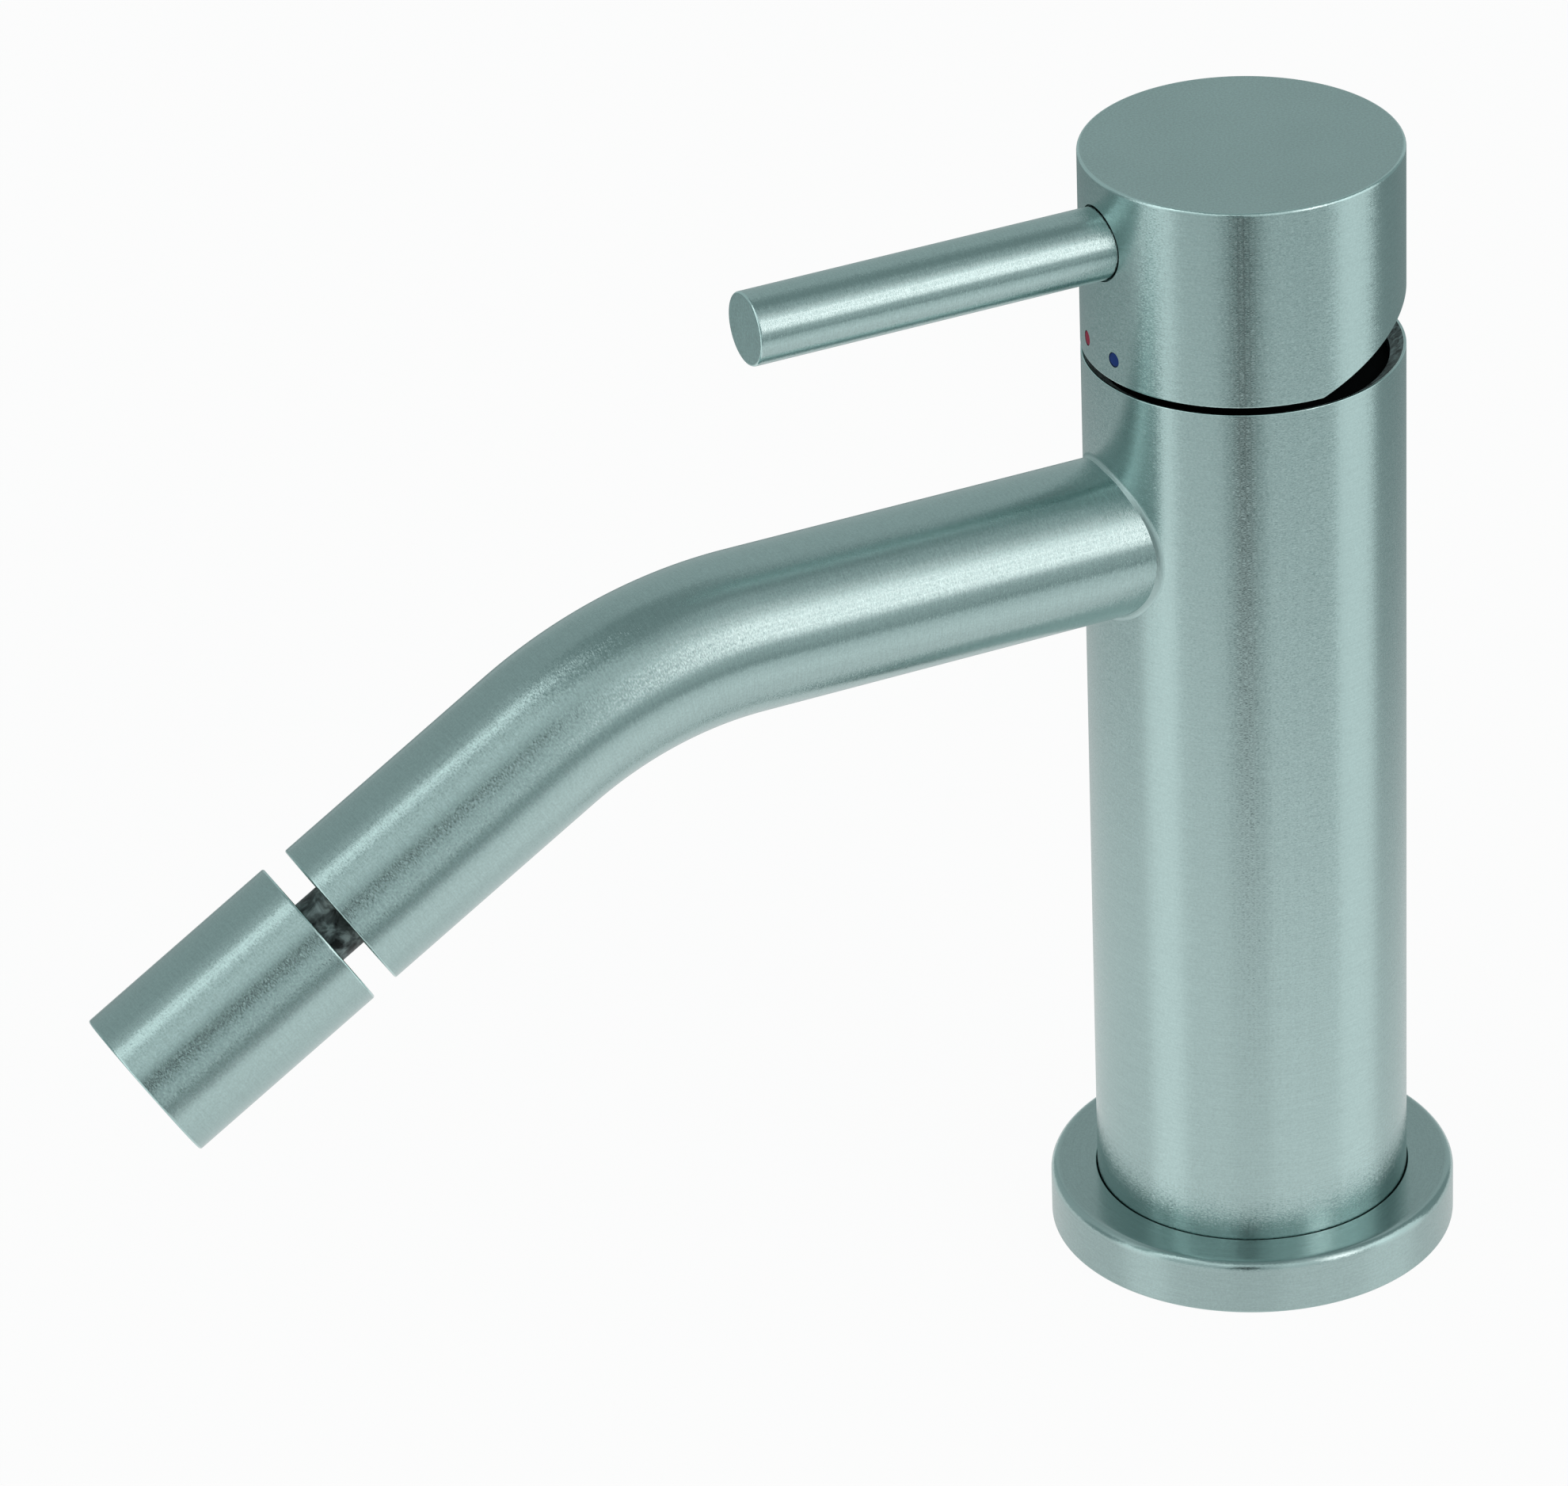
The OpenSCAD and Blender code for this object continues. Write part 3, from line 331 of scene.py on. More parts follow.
def finish_mesh(name, vertices, faces, uvs, along, edge, sharp=smooth_angle):
    """A smooth mesh object with its own UV map, its grain direction and its edges marked, sharp
    ones for shading and rounded ones for the painted edge highlight.
    """
    mesh = bpy.data.meshes.new(name)
    mesh.from_pydata([tuple(v) for v in vertices], [], faces)
    layer = mesh.uv_layers.new(name="grain")
    layer.data.foreach_set("uv", np.array([uv for face in uvs for uv in face], np.float32).ravel())
    grain = mesh.attributes.new("along", "FLOAT_VECTOR", "POINT")
    grain.data.foreach_set("vector", np.array(along, np.float32).ravel())
    edge_sheen_layer = mesh.attributes.new("edge", "FLOAT", "POINT")
    edge_sheen_layer.data.foreach_set("value", np.array(edge, np.float32))
    made = bmesh.new()
    made.from_mesh(mesh)
    bmesh.ops.remove_doubles(made, verts=made.verts, dist=1e-7)
    bmesh.ops.recalc_face_normals(made, faces=made.faces)
    made.to_mesh(mesh)
    made.free()
    mesh.shade_smooth()
    mesh.set_sharp_from_angle(angle=sharp)
    piece = bpy.data.objects.new(name, mesh)
    scene.collection.objects.link(piece)
    return piece


def turned(name, outline, closed=True, place=None, steps=256):
    """A piece turned on a lathe: the outline goes round Z, then to its place."""
    longest, on_axis = 0.05, 1e-9
    outline = subdivided(outline, longest, closed)
    length = [0.0]
    for (r0, z0, _), (r1, z1, _) in zip(outline, outline[1:] + outline[:1]):
        length.append(length[-1] + math.hypot(r1 - r0, z1 - z0))
    vertices, along, edge = [], [], []
    place = place or Matrix.Identity(4)
    way = (place.to_3x3() @ Vector((0, 0, 1))).normalized()
    for r, z, edge_sheen in outline:
        for i in range(steps):
            a = 2 * math.pi * i / steps
            vertices.append(place @ Vector((r * math.cos(a), r * math.sin(a), z)))
            along.append(way)
            edge.append(edge_sheen)
    faces, uvs = [], []
    for k in range(len(outline) if closed else len(outline) - 1):
        nxt = (k + 1) % len(outline)
        for i in range(steps):
            j = (i + 1) % steps
            u0, u1, v0, v1 = i / steps, (i + 1) / steps, length[k], length[k + 1]
            quad = [(k, i, u0, v0), (k, j, u1, v0), (nxt, j, u1, v1), (nxt, i, u0, v1)]
            if outline[k][0] < on_axis:
                quad = [quad[0]] + quad[2:]
            elif outline[nxt][0] < on_axis:
                quad = quad[:3]
            faces.append([q[0] * steps + q[1] for q in quad])
            uvs.append([(q[2], q[3]) for q in quad])
    return finish_mesh(name, vertices, faces, uvs, along, edge)


def drilled(piece, cutters):
    """Cuts the cutters out of an upright piece and throws them away.

    What the cutters bring along, their grain direction and their material slots, is reset.
    """
    for cutter in cutters:
        cut = piece.modifiers.new("cut", "BOOLEAN")
        cut.object = cutter
        cut.operation = "DIFFERENCE"
        cut.solver = "MANIFOLD"
    bpy.context.view_layer.update()
    evaluated = piece.evaluated_get(bpy.context.evaluated_depsgraph_get())
    mesh = bpy.data.meshes.new_from_object(evaluated)
    mesh.name = piece.name
    piece.modifiers.clear()
    piece.data = mesh
    for cutter in cutters:
        bpy.data.objects.remove(cutter)
    mesh.attributes["along"].data.foreach_set("vector", (0.0, 0.0, 1.0) * len(mesh.vertices))
    mesh.materials.clear()
    mesh.polygons.foreach_set("material_index", [0] * len(mesh.polygons))
    mesh.shade_smooth()
    mesh.set_sharp_from_angle(angle=smooth_angle)
    return piece


def brushed(name, colour, radius, streak=0.010, roughness=0.19, across=0.32, around=0.05,
            bright=1.45):
    """Stainless steel ground round a piece of that radius, with a painted highlight on its rounded
    edges.

    The grinding lines are about as long as the streak. Finer ones, narrower than a pixel of
    the photograph, tip the surface: across is how steeply they tip it along the piece, at
    most, and around is how steeply they tip it round the piece.
    """
    lightest, darkest = 1.28, 0.69
    f = Finish(name)
    uv = f.node("ShaderNodeUVMap", {"uv_map": "grain"})
    turn = f.node("ShaderNodeSeparateXYZ", None, {0: uv}, "X") * (2 * math.pi)
    run = f.node("ShaderNodeSeparateXYZ", None, {0: uv}, "Y")
    east = f.maths("COSINE", turn)
    north = f.maths("SINE", turn)

    def lines(width, length, detail, shift):
        reach = radius / length
        spot = f.node("ShaderNodeCombineXYZ", None, {
            0: east * reach, 1: north * reach, 2: run * (1 / width) + shift})
        return f.node("ShaderNodeTexNoise", None, {
            "Vector": spot, "Scale": 1.0, "Detail": detail, "Roughness": 0.6})

    fuzz = lines(width=0.00002, length=0.0003, detail=0.0, shift=170)
    bristle = lines(width=0.00002, length=0.0003, detail=0.0, shift=310)
    hair = lines(width=0.00009, length=0.35 * streak, detail=2.0, shift=0)
    scratch = lines(width=0.00030, length=streak, detail=2.0, shift=40)
    tilt = lines(width=0.00014, length=0.5 * streak, detail=1.0, shift=90)
    grain = f.node("ShaderNodeTexNoise", None, {
        "Vector": f.place(), "Scale": 3600.0, "Detail": 1.0})
    cloud = f.node("ShaderNodeTexNoise", None, {
        "Vector": f.place(), "Scale": 70.0, "Detail": 3.0, "Roughness": 0.55})
    edge_sheen = f.node("ShaderNodeAttribute", {"attribute_name": "edge"}, out="Fac")
    blotch = hair * 0.45 + grain * 0.4 + scratch * 0.1 + cloud * 0.05
    tone = f.mix(blotch, rgba(colour, darkest), rgba(colour, lightest))
    # Painted highlight: the colour is lightened towards bright where the edge value is high, on
    # rounded edges.
    tone = f.mix(edge_sheen * 0.9, tone, rgba(colour, bright))
    rough = (roughness - 0.07) + hair * 0.06 + scratch * 0.04 + cloud * 0.05 - edge_sheen * 0.06
    normal = f.node("ShaderNodeTexCoord", out="Normal")
    along = f.node("ShaderNodeAttribute", {"attribute_name": "along"}, out="Vector")
    sideways = f.vector("CROSS_PRODUCT", along, normal)
    lean = (fuzz - 0.5) * (2 * across) + (hair - 0.5) * (0.12 * across)
    roll = (bristle - 0.5) * (2 * around) + (tilt - 0.5) * (0.5 * around)
    leaning = f.vector("ADD", normal, f.scaled(along, lean))
    bent = f.vector("NORMALIZE", f.vector("ADD", leaning, f.scaled(sideways, roll)))
    facing = f.node("ShaderNodeVectorTransform", {
        "vector_type": "NORMAL", "convert_from": "OBJECT", "convert_to": "WORLD"}, {0: bent})
    return f.surface(**{"Base Color": tone, "Metallic": 1.0, "Roughness": rough, "Normal": facing})


def mottled(name, dark, mid, light, scale=420.0):
    """A dark, blotchy skin with grit in it: metal that was never ground, and on the insides of the
    column and the cap also a painted shade.
    """
    f = Finish(name)
    spot = f.place()
    blotch = f.node("ShaderNodeTexNoise", None, {
        "Vector": spot, "Scale": scale, "Detail": 5.0, "Roughness": 0.62, "Distortion": 0.8})
    grit = f.node("ShaderNodeTexNoise", None, {"Vector": spot, "Scale": 7 * scale, "Detail": 2.0})
    stops = [(at, (0.8 * level, level, level, 1))
             for at, level in ((0.36, dark), (0.5, mid), (0.64, light))]
    tone = f.node("ShaderNodeValToRGB", {"stops": stops}, {0: blotch})
    bump = f.node("ShaderNodeBump", None, {
        "Strength": 0.5, "Distance": 0.0001, "Height": blotch * 0.8 + grit * 0.2})
    return f.surface(**{
        "Base Color": tone, "Metallic": 0.9, "Roughness": 0.3 + blotch * 0.25, "Normal": bump})


column = turned("column", corners(
    (column_r, column_foot, edge_break), (column_r, column_top, rim_edge),
    (column_r - rim_w, column_top, fine_edge), (column_bore, column_top - rim_drop, 0),
    (column_bore, column_foot, edge_break)))
spout_hole_place = Matrix.Translation((0, 0, spout_z)) @ Matrix.Rotation(-math.pi / 2, 4, "Y")
spout_hole = turned("hole", corners(
    (0, spout_hole_start, 0), (spout_bore, spout_hole_start, 0), (spout_bore, spout_hole_end, 0),
    (0, spout_hole_end, 0)), closed=False, place=spout_hole_place)
column = drilled(column, [spout_hole])
column.data.materials.append(brushed("column_steel", steel, column_r))
# The tube's inside and the top of its wall get a dark blotchy skin: partly the unground metal's own
# skin, and partly painted shade under the cap.
column.data.materials.append(mottled("column_skin_and_shade", dark=0.03, mid=0.24, light=0.5, scale=900))
for face in column.data.polygons:
    inside = math.hypot(face.center.x, face.center.y) < column_r - rim_w - hairline
    face.material_index = int(inside)
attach(column, "tap_body")
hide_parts("body_tube")

# Base flange: a turned disc of stainless steel that hides the tap hole, with a soft outer
# edge, and grained in rings. A rubber gasket sits in a groove under it.
flange_r, flange_top, flange_bore = 0.026, 0.0074, 0.02015
flange_edge, flange_foot_edge, ledge_bore = 0.0012, 0.0004, 0.0165
gasket_inner, gasket_outer, gasket_h = 0.01765, 0.02325, 0.0013
flange = turned("flange", corners(
    (flange_r, 0.0, flange_foot_edge), (flange_r, flange_top, flange_edge),
    (flange_bore, flange_top, rim_edge), (flange_bore, column_foot, 0),
    (ledge_bore, column_foot, 0), (ledge_bore, 0.0, 0), (gasket_inner, 0.0, 0),
    (gasket_inner, gasket_h, 0), (gasket_outer, gasket_h, 0), (gasket_outer, 0.0, 0)))
# Painted shade: the flange's colour is the steel darkened, and its rounded edges get a weaker
# painted highlight.
flange.data.materials.append(
    brushed("flange_steel_painted_shade", shade(steel, 0.86), flange_r, roughness=0.22, bright=1.25))
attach(flange, "tap_body")
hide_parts("base_flange")

# Handle cap: turned from bar, its side ground round and its flat top blasted to a fine mat
# grain. The rear is milled away at a slant so that it can tip back.
cap_z, cap_h, cap_bore, cap_roof = 0.12588, 0.02592, 0.0176, 0.0025
cap_top = cap_z + cap_h
cap_edge, cap_lip = 0.0004, 0.0002
cap_cut, wedge_wide, wedge_deep = math.radians(22), 0.08, 0.04
boss_r, boss_z = 0.0085, cap_z + 0.0033
socket_z, socket_w, socket_h = 0.1357, 0.0071, 0.0224
lever_r, lever_z, lever_root, lever_tip = 0.0046, 0.1432, 0.01835, 0.0671
lever_gap, lever_seat, lever_hole_end = 0.00022, 0.0183, 0.03
spigot_hole_r, spigot_hole_end = 0.00305, 0.0035
dot_r, dot_z, dot_turn = 0.0009, 0.1289, math.radians(10)
dot_gap, dot_hole_floor, past_wall = 0.00007, 0.01915, 0.022
cap = turned("handle_cap_shell", corners(
    (0, cap_top, 0), (column_r, cap_top, cap_edge), (column_r, cap_z, cap_lip),
    (cap_bore, cap_z, cap_lip), (cap_bore, cap_top - cap_roof, 0), (boss_r, cap_top - cap_roof, 0),
    (boss_r, boss_z, 0), (0, boss_z, 0)), closed=False)
lever_place = Matrix.Translation((0, 0, lever_z)) @ Matrix.Rotation(-math.pi / 2, 4, "Y")
bpy.ops.mesh.primitive_cube_add(size=1)
wedge = bpy.context.object
wedge.data.transform(Matrix.Translation((0, 0, cap_z)) @ Matrix.Rotation(-cap_cut, 4, "Y")
                     @ Matrix.Diagonal((wedge_wide, wedge_wide, wedge_deep, 1))
                     @ Matrix.Translation((0.5, 0, -0.5)))
bpy.ops.mesh.primitive_cube_add(size=1)
stem_socket = bpy.context.object
stem_socket.data.transform(Matrix.Translation((0, 0, socket_z))
                           @ Matrix.Diagonal((socket_w, socket_w, socket_h, 1)))
lever_hole = turned("hole", corners(
    (0, spigot_hole_end, 0), (spigot_hole_r, spigot_hole_end, 0), (spigot_hole_r, lever_seat, 0),
    (lever_r + lever_gap, lever_seat, 0), (lever_r + lever_gap, lever_hole_end, 0),
    (0, lever_hole_end, 0)), closed=False, place=lever_place, steps=128)


def dot_place(side):
    """Turns Z to the way out through the hot dot, side 1, or the cold dot, side -1."""
    return (Matrix.Rotation(math.pi - side * dot_turn, 4, "Z") @ Matrix.Translation((0, 0, dot_z))
            @ Matrix.Rotation(math.pi / 2, 4, "Y"))


def dot_hole(side):
    return turned("hole", corners(
        (0, dot_hole_floor, 0), (dot_r + dot_gap, dot_hole_floor, 0),
        (dot_r + dot_gap, past_wall, 0), (0, past_wall, 0)),
        closed=False, place=dot_place(side), steps=48)


cap = drilled(cap, [wedge, stem_socket, lever_hole, dot_hole(1), dot_hole(-1)])


def blasted(name, colour, roughness=0.42, grain=0.00030, depth=0.35):
    """Steel with a fine even mat grain, and the odd tiny pit."""
    lightest, darkest, pitted = 1.36, 0.60, 0.4
    f = Finish(name)
    fine = f.node("ShaderNodeTexNoise", None, {
        "Vector": f.place(), "Scale": 1 / grain, "Detail": 2.0, "Roughness": 0.7})
    cloud = f.node("ShaderNodeTexNoise", None, {"Vector": f.place(), "Scale": 90.0, "Detail": 3.0})
    pits = f.node("ShaderNodeTexVoronoi", {"feature": "F1"}, {
        "Vector": f.place(), "Scale": 120.0, "Randomness": 1.0})
    pit = f.node("ShaderNodeMapRange", {"clamp": True}, {0: pits, 1: 0.0, 2: 0.045, 3: 1.0, 4: 0.0})
    tone = f.mix(fine * 0.85 + cloud * 0.15, rgba(colour, darkest), rgba(colour, lightest))
    tone = f.mix(pit * 0.5, tone, rgba(colour, pitted))
    bump = f.node("ShaderNodeBump", None, {"Strength": depth, "Distance": 0.00003, "Height": fine})
    return f.surface(**{
        "Base Color": tone, "Metallic": 1.0, "Roughness": (roughness - 0.05) + fine * 0.1,
        "Normal": bump})


cap.data.materials.append(
    brushed("cap_steel", steel, column_r, streak=0.007, roughness=0.20, around=0.11))
# Painted light: the flat top's colour is the steel lightened a little.
cap.data.materials.append(blasted("cap_top_steel_painted_light", shade(steel, 1.03)))
# Painted shade: the cap's inside, under its roof, is coloured near black.
cap.data.materials.append(mottled("cap_inside_painted_shade", dark=0.006, mid=0.02, light=0.08))
for face in cap.data.polygons:
    out = math.hypot(face.center.x, face.center.y)
    if face.normal.z > 0.999 and face.center.z > cap_top - 2 * hairline:
        face.material_index = 1
    # Faces inside the cap's bore, away from the lever's hole, take the near-black painted shade.
    elif out < cap_bore + 2 * hairline and abs(face.center.y) > lever_r + 6 * hairline:
        face.material_index = 2
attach(cap, "handle")
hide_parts("handle_cap")

# The bridge inside the cap, a short bar from its boss to its wall that the lever's spigot
# screws into.
bridge_bore, bridge_r, bridge_start, bridge_end = 0.0032, 0.006, 0.0078, 0.0178
bridge = turned("lever_bridge", corners(
    (bridge_bore, bridge_start, 0), (bridge_bore, bridge_end, 0), (bridge_r, bridge_end, 0),
    (bridge_r, bridge_start, 0)), place=lever_place, steps=96)
bridge.data.materials.append(cap.data.materials[0])
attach(bridge, "handle")

# Lever: a round bar with a tiny chamfer on its tip and a threaded spigot at its root, ground
# round and screwed into the cap.
spigot_r, spigot_start, lever_root_edge = 0.003, 0.0093, 0.00015
lever = turned("lever", corners(
    (0, spigot_start, 0), (spigot_r, spigot_start, edge_break), (spigot_r, lever_root, 0),
    (lever_r, lever_root, lever_root_edge), (lever_r, lever_tip, edge_break), (0, lever_tip, 0)),
    closed=False, place=lever_place, steps=160)
lever.data.materials.append(
    brushed("lever_steel", shade(steel, 1.04), lever_r, streak=0.004, around=0.05))
# Painted light: the tip's flat end is coloured lighter than the steel.
lever.data.materials.append(blasted("lever_tip_steel_painted_light", shade(steel, 1.15)))
for face in lever.data.polygons:
    at_tip = face.normal.x < -0.999 and face.center.x < 2 * hairline - lever_tip
    face.material_index = int(at_tip)
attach(lever, "handle")
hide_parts("lever_rod")

# Temperature dots: red for hot and blue for cold, drops of enamel that fill two shallow holes
# in the cap's side under the lever.
dot_foot, dot_edge, dot_crown = 0.0192, 0.01995, 0.01999
for name, node, slot, side, colour in (
        ("hot_mark", "hot_dot", "dot_red", 1, (0.42, 0.002, 0.045)),
        ("cold_mark", "cold_dot", "dot_blue", -1, (0.003, 0.040, 0.23))):
    mark = turned(name, corners(
        (0, dot_foot, 0), (dot_r, dot_foot, 0), (dot_r, dot_edge, fine_edge), (0, dot_crown, 0)),
        closed=False, place=dot_place(side), steps=48)
    f = Finish(slot + "_enamel")
    mottle = f.node("ShaderNodeTexNoise", None, {
        "Vector": f.place(), "Scale": 2500.0, "Detail": 2.0})
    bump = f.node("ShaderNodeBump", None, {"Strength": 0.15, "Distance": 0.00005, "Height": mottle})
    mark.data.materials.append(f.surface(**{
        "Base Color": f.mix(mottle, rgba(colour, 0.8), rgba(colour, 1.15)),
        "Roughness": 0.4 + mottle * 0.15, "Normal": bump, "Specular IOR Level": 0.2}))
    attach(mark, "handle")
    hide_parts(node)

# Spout: a thin tube that leaves the column level, bends down on a mandrel and ends in a
# straight piece cut square. It is ground round like the column.
spout_r, spout_run, spout_end = 0.0101, 0.069, 0.0318
bend_r, bend_turn = 0.053, math.radians(31.3)
bend_length = bend_r * bend_turn
spout_length = spout_run + bend_length + spout_end
tip_break, spout_root, saddle_depth = 0.00025, 0.02, 0.0003
run_rings, bend_steps, tip_ring = (0.0225, 0.035, 0.05, 0.06), 32, 0.0004


def spout_path(s):
    """Middle of the tube and its direction at a distance along it from the column's axis."""
    turn = min(max((s - spout_run) / bend_r, 0), bend_turn)
    spot = Vector((-min(s, spout_run) - bend_r * math.sin(turn), 0,
                   spout_z - bend_r * (1 - math.cos(turn))))
    way = Vector((-math.cos(turn), 0, -math.sin(turn)))
    return spot + way * max(0, s - spout_run - bend_length), way


def spout_tube_mesh(steps=192):
    """The tube's rings, outside, round its tip and back inside; None is the saddle at its root."""
    outer = [(None, spout_r, 0)] + [(s, spout_r, 0) for s in run_rings]
    outer += [(spout_run + bend_length * k / bend_steps, spout_r, 0)
              for k in range(bend_steps + 1)]
    outer.append((spout_length - tip_ring, spout_r, 0))
    tip = []
    # The tip's rounding carries the painted edge highlight, strongest half way round, and its inner
    # edge carries half of it.
    for a in (math.pi / 2 * k / 5 for k in range(6)):
        tip.append((spout_length - tip_break * (1 - math.sin(a)),
                    spout_r - tip_break * (1 - math.cos(a)), math.sin(2 * a)))
    for a in (math.pi / 2 * k / 3 for k in range(4)):
        tip.append((spout_length - fine_edge * (1 - math.cos(a)),
                    spout_bore + fine_edge * (1 - math.sin(a)), 0.5))
    inner = [(s, spout_bore, 0) for s, _, _ in reversed(outer[1:])] + [(None, spout_bore, 0)]
    rings = outer + tip + inner
    vertices, along, edge, length, last = [], [], [], [0.0], None
    for s, r, edge_sheen in rings:
        spot, way = spout_path(s or spout_root)
        if last is not None:
            length.append(length[-1] + math.hypot((s or spout_root) - last[0], r - last[1]))
        last = (s or spout_root, r)
        up = Vector((way.z, 0, -way.x))
        for i in range(steps):
            a = 2 * math.pi * i / steps
            point = spot + r * (math.cos(a) * up + math.sin(a) * Vector((0, 1, 0)))
            if s is None:
                point.x = saddle_depth - math.sqrt(column_r ** 2 - point.y ** 2)
            vertices.append(point)
            along.append(way)
            edge.append(edge_sheen)
    length.append(length[-1] + spout_r - spout_bore)
    faces, uvs = [], []
    for k in range(len(rings)):
        nxt = (k + 1) % len(rings)
        for i in range(steps):
            j = (i + 1) % steps
            faces.append([k * steps + i, k * steps + j, nxt * steps + j, nxt * steps + i])
            uvs.append([(i / steps, length[k]), ((i + 1) / steps, length[k]),
                        ((i + 1) / steps, length[k + 1]), (i / steps, length[k + 1])])
    return finish_mesh("spout", vertices, faces, uvs, along, edge)


spout = spout_tube_mesh()
spout.data.materials.append(brushed("spout_steel", steel, spout_r, streak=0.006, around=0.05))
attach(spout, "tap_body")
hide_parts("spout_tube")

# Weld: a narrow fillet run round the spout where it meets the column, dressed with a wheel and a
# little uneven. Its colour is lightened a little all over, a painted highlight along the joint.
weld_w, weld_sink, weld_foot = 0.0006, 0.0002, 0.00002


def weld_mesh(steps=240, arc=6):
    """A ring of the fillet's section, its width a little uneven; it sinks into both pieces."""
    rng = np.random.default_rng(7)
    waves = [(n, 0.05 / math.sqrt(n) * rng.normal(), rng.uniform(0, 2 * math.pi))
             for n in range(2, 14)]
    vertices, along, edge, faces, uvs = [], [], [], [], []
    ring = arc + 3
    for i in range(steps):
        t = 2 * math.pi * i / steps
        width = weld_w * (1 + sum(h * math.sin(n * t + p) for n, h, p in waves))
        section = [(spout_r - weld_sink, -weld_sink), (spout_r - weld_sink, width)]
        section += [(spout_r + width * (1 - math.cos(a)), width * (1 - math.sin(a)))
                    for a in (math.pi / 2 * k / arc for k in range(1, arc))]
        section += [(spout_r + width, weld_foot), (spout_r + width, -weld_sink)]
        for out, off in section:
            vertices.append(Vector((-math.sqrt(column_r ** 2 - (out * math.sin(t)) ** 2) - off,
                                    out * math.sin(t), spout_z + out * math.cos(t))))
            along.append((0, math.cos(t), -math.sin(t)))
            # Half the painted edge highlight over the whole fillet.
            edge.append(0.5)
    for i in range(steps):
        for k in range(ring):
            here, there = i * ring, ((i + 1) % steps) * ring
            faces.append([here + k, here + (k + 1) % ring, there + (k + 1) % ring, there + k])
            u0, u1, v0, v1 = i / steps, (i + 1) / steps, k * weld_w / 2, (k + 1) * weld_w / 2
            uvs.append([(u0, v0), (u0, v1), (u1, v1), (u1, v0)])
    return finish_mesh("weld_fillet", vertices, faces, uvs, along, edge, sharp=math.radians(50))


weld = weld_mesh()
weld.data.materials.append(
    brushed("weld_steel", steel, spout_r, streak=0.003, roughness=0.34, around=0.05, bright=1.1))
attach(weld, "tap_body")
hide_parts("spout_weld")

# Neck and ball: turned in one piece and left with a dark mottled skin. The neck turns in the
# spout's end, and the nozzle swings on the ball.
tip_place = (Matrix.Translation(spout_path(spout_length)[0])
             @ Matrix.Rotation(-(math.pi / 2 + bend_turn), 4, "Y"))
neck_r, neck_bore, ball_r, ball_at, ball_flat = 0.0044, 0.0024, 0.007, 0.0113, 0.0168
neck_start, groove_start, groove_end, groove_r = -0.0114, -0.01045, -0.00945, 0.0036
collar_start, collar_end, collar_r, collar_edge = -0.00175, -0.00035, 0.0054, 0.0002
ball_first = math.asin(neck_r / ball_r)
ball_last = math.pi - math.acos((ball_flat - ball_at) / ball_r)
ball_curve = [(ball_r * math.sin(a), ball_at - ball_r * math.cos(a), 0.0)
              for a in np.linspace(ball_first, ball_last, 28)]
neck = turned("neck_and_ball", corners(
    (neck_bore, neck_start, 0), (neck_r, neck_start, collar_edge), (neck_r, groove_start, 0),
    (groove_r, groove_start, 0), (groove_r, groove_end, 0), (neck_r, groove_end, 0),
    (neck_r, collar_start, 0), (collar_r, collar_start, fine_edge),
    (collar_r, collar_end, collar_edge), (neck_r, collar_end, 0))
    + ball_curve + [(neck_bore, ball_flat, 0.0)], place=tip_place, steps=160)
neck.data.materials.append(mottled("neck_skin", dark=0.02, mid=0.12, light=0.36))
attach(neck, "swivel_stem")
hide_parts("ball_stem")

# Nozzle: a turned sleeve with fine chamfers, coned inside at the top so that it can swing over
# the neck, and ground round like the spout.
nozzle_r, nozzle_bore, nozzle_seat = 0.0102, 0.0087, 0.0078
nozzle_top, nozzle_tip = 0.0033, 0.0311
cone_small, cone_large, cone_edge = 0.006214, 0.007676, 0.00015
nozzle = turned("nozzle", corners(
    (nozzle_r, nozzle_top, edge_break), (nozzle_r, nozzle_tip, edge_break),
    (nozzle_bore, nozzle_tip, fine_edge), (nozzle_bore, nozzle_seat, 0),
    (cone_small, nozzle_seat, 0), (cone_large, nozzle_top, cone_edge)),
    place=tip_place, steps=192)
nozzle.data.materials.append(brushed("nozzle_steel", steel, nozzle_r, streak=0.006, around=0.05))
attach(nozzle, "nozzle")
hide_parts("nozzle_shell")

# Jet grid: the honeycomb at the nozzle's tip, moulded in white plastic, that lays the stream
# smooth. Six-sided cells stand side by side inside a thin rim.
grid_pitch, grid_web, grid_depth, grid_rows = 0.0021, 0.0004, 0.002, 7
grid_r, grid_at, grid_rim = 0.00735, 0.0276, 0.0006
grid_end = grid_at + grid_depth


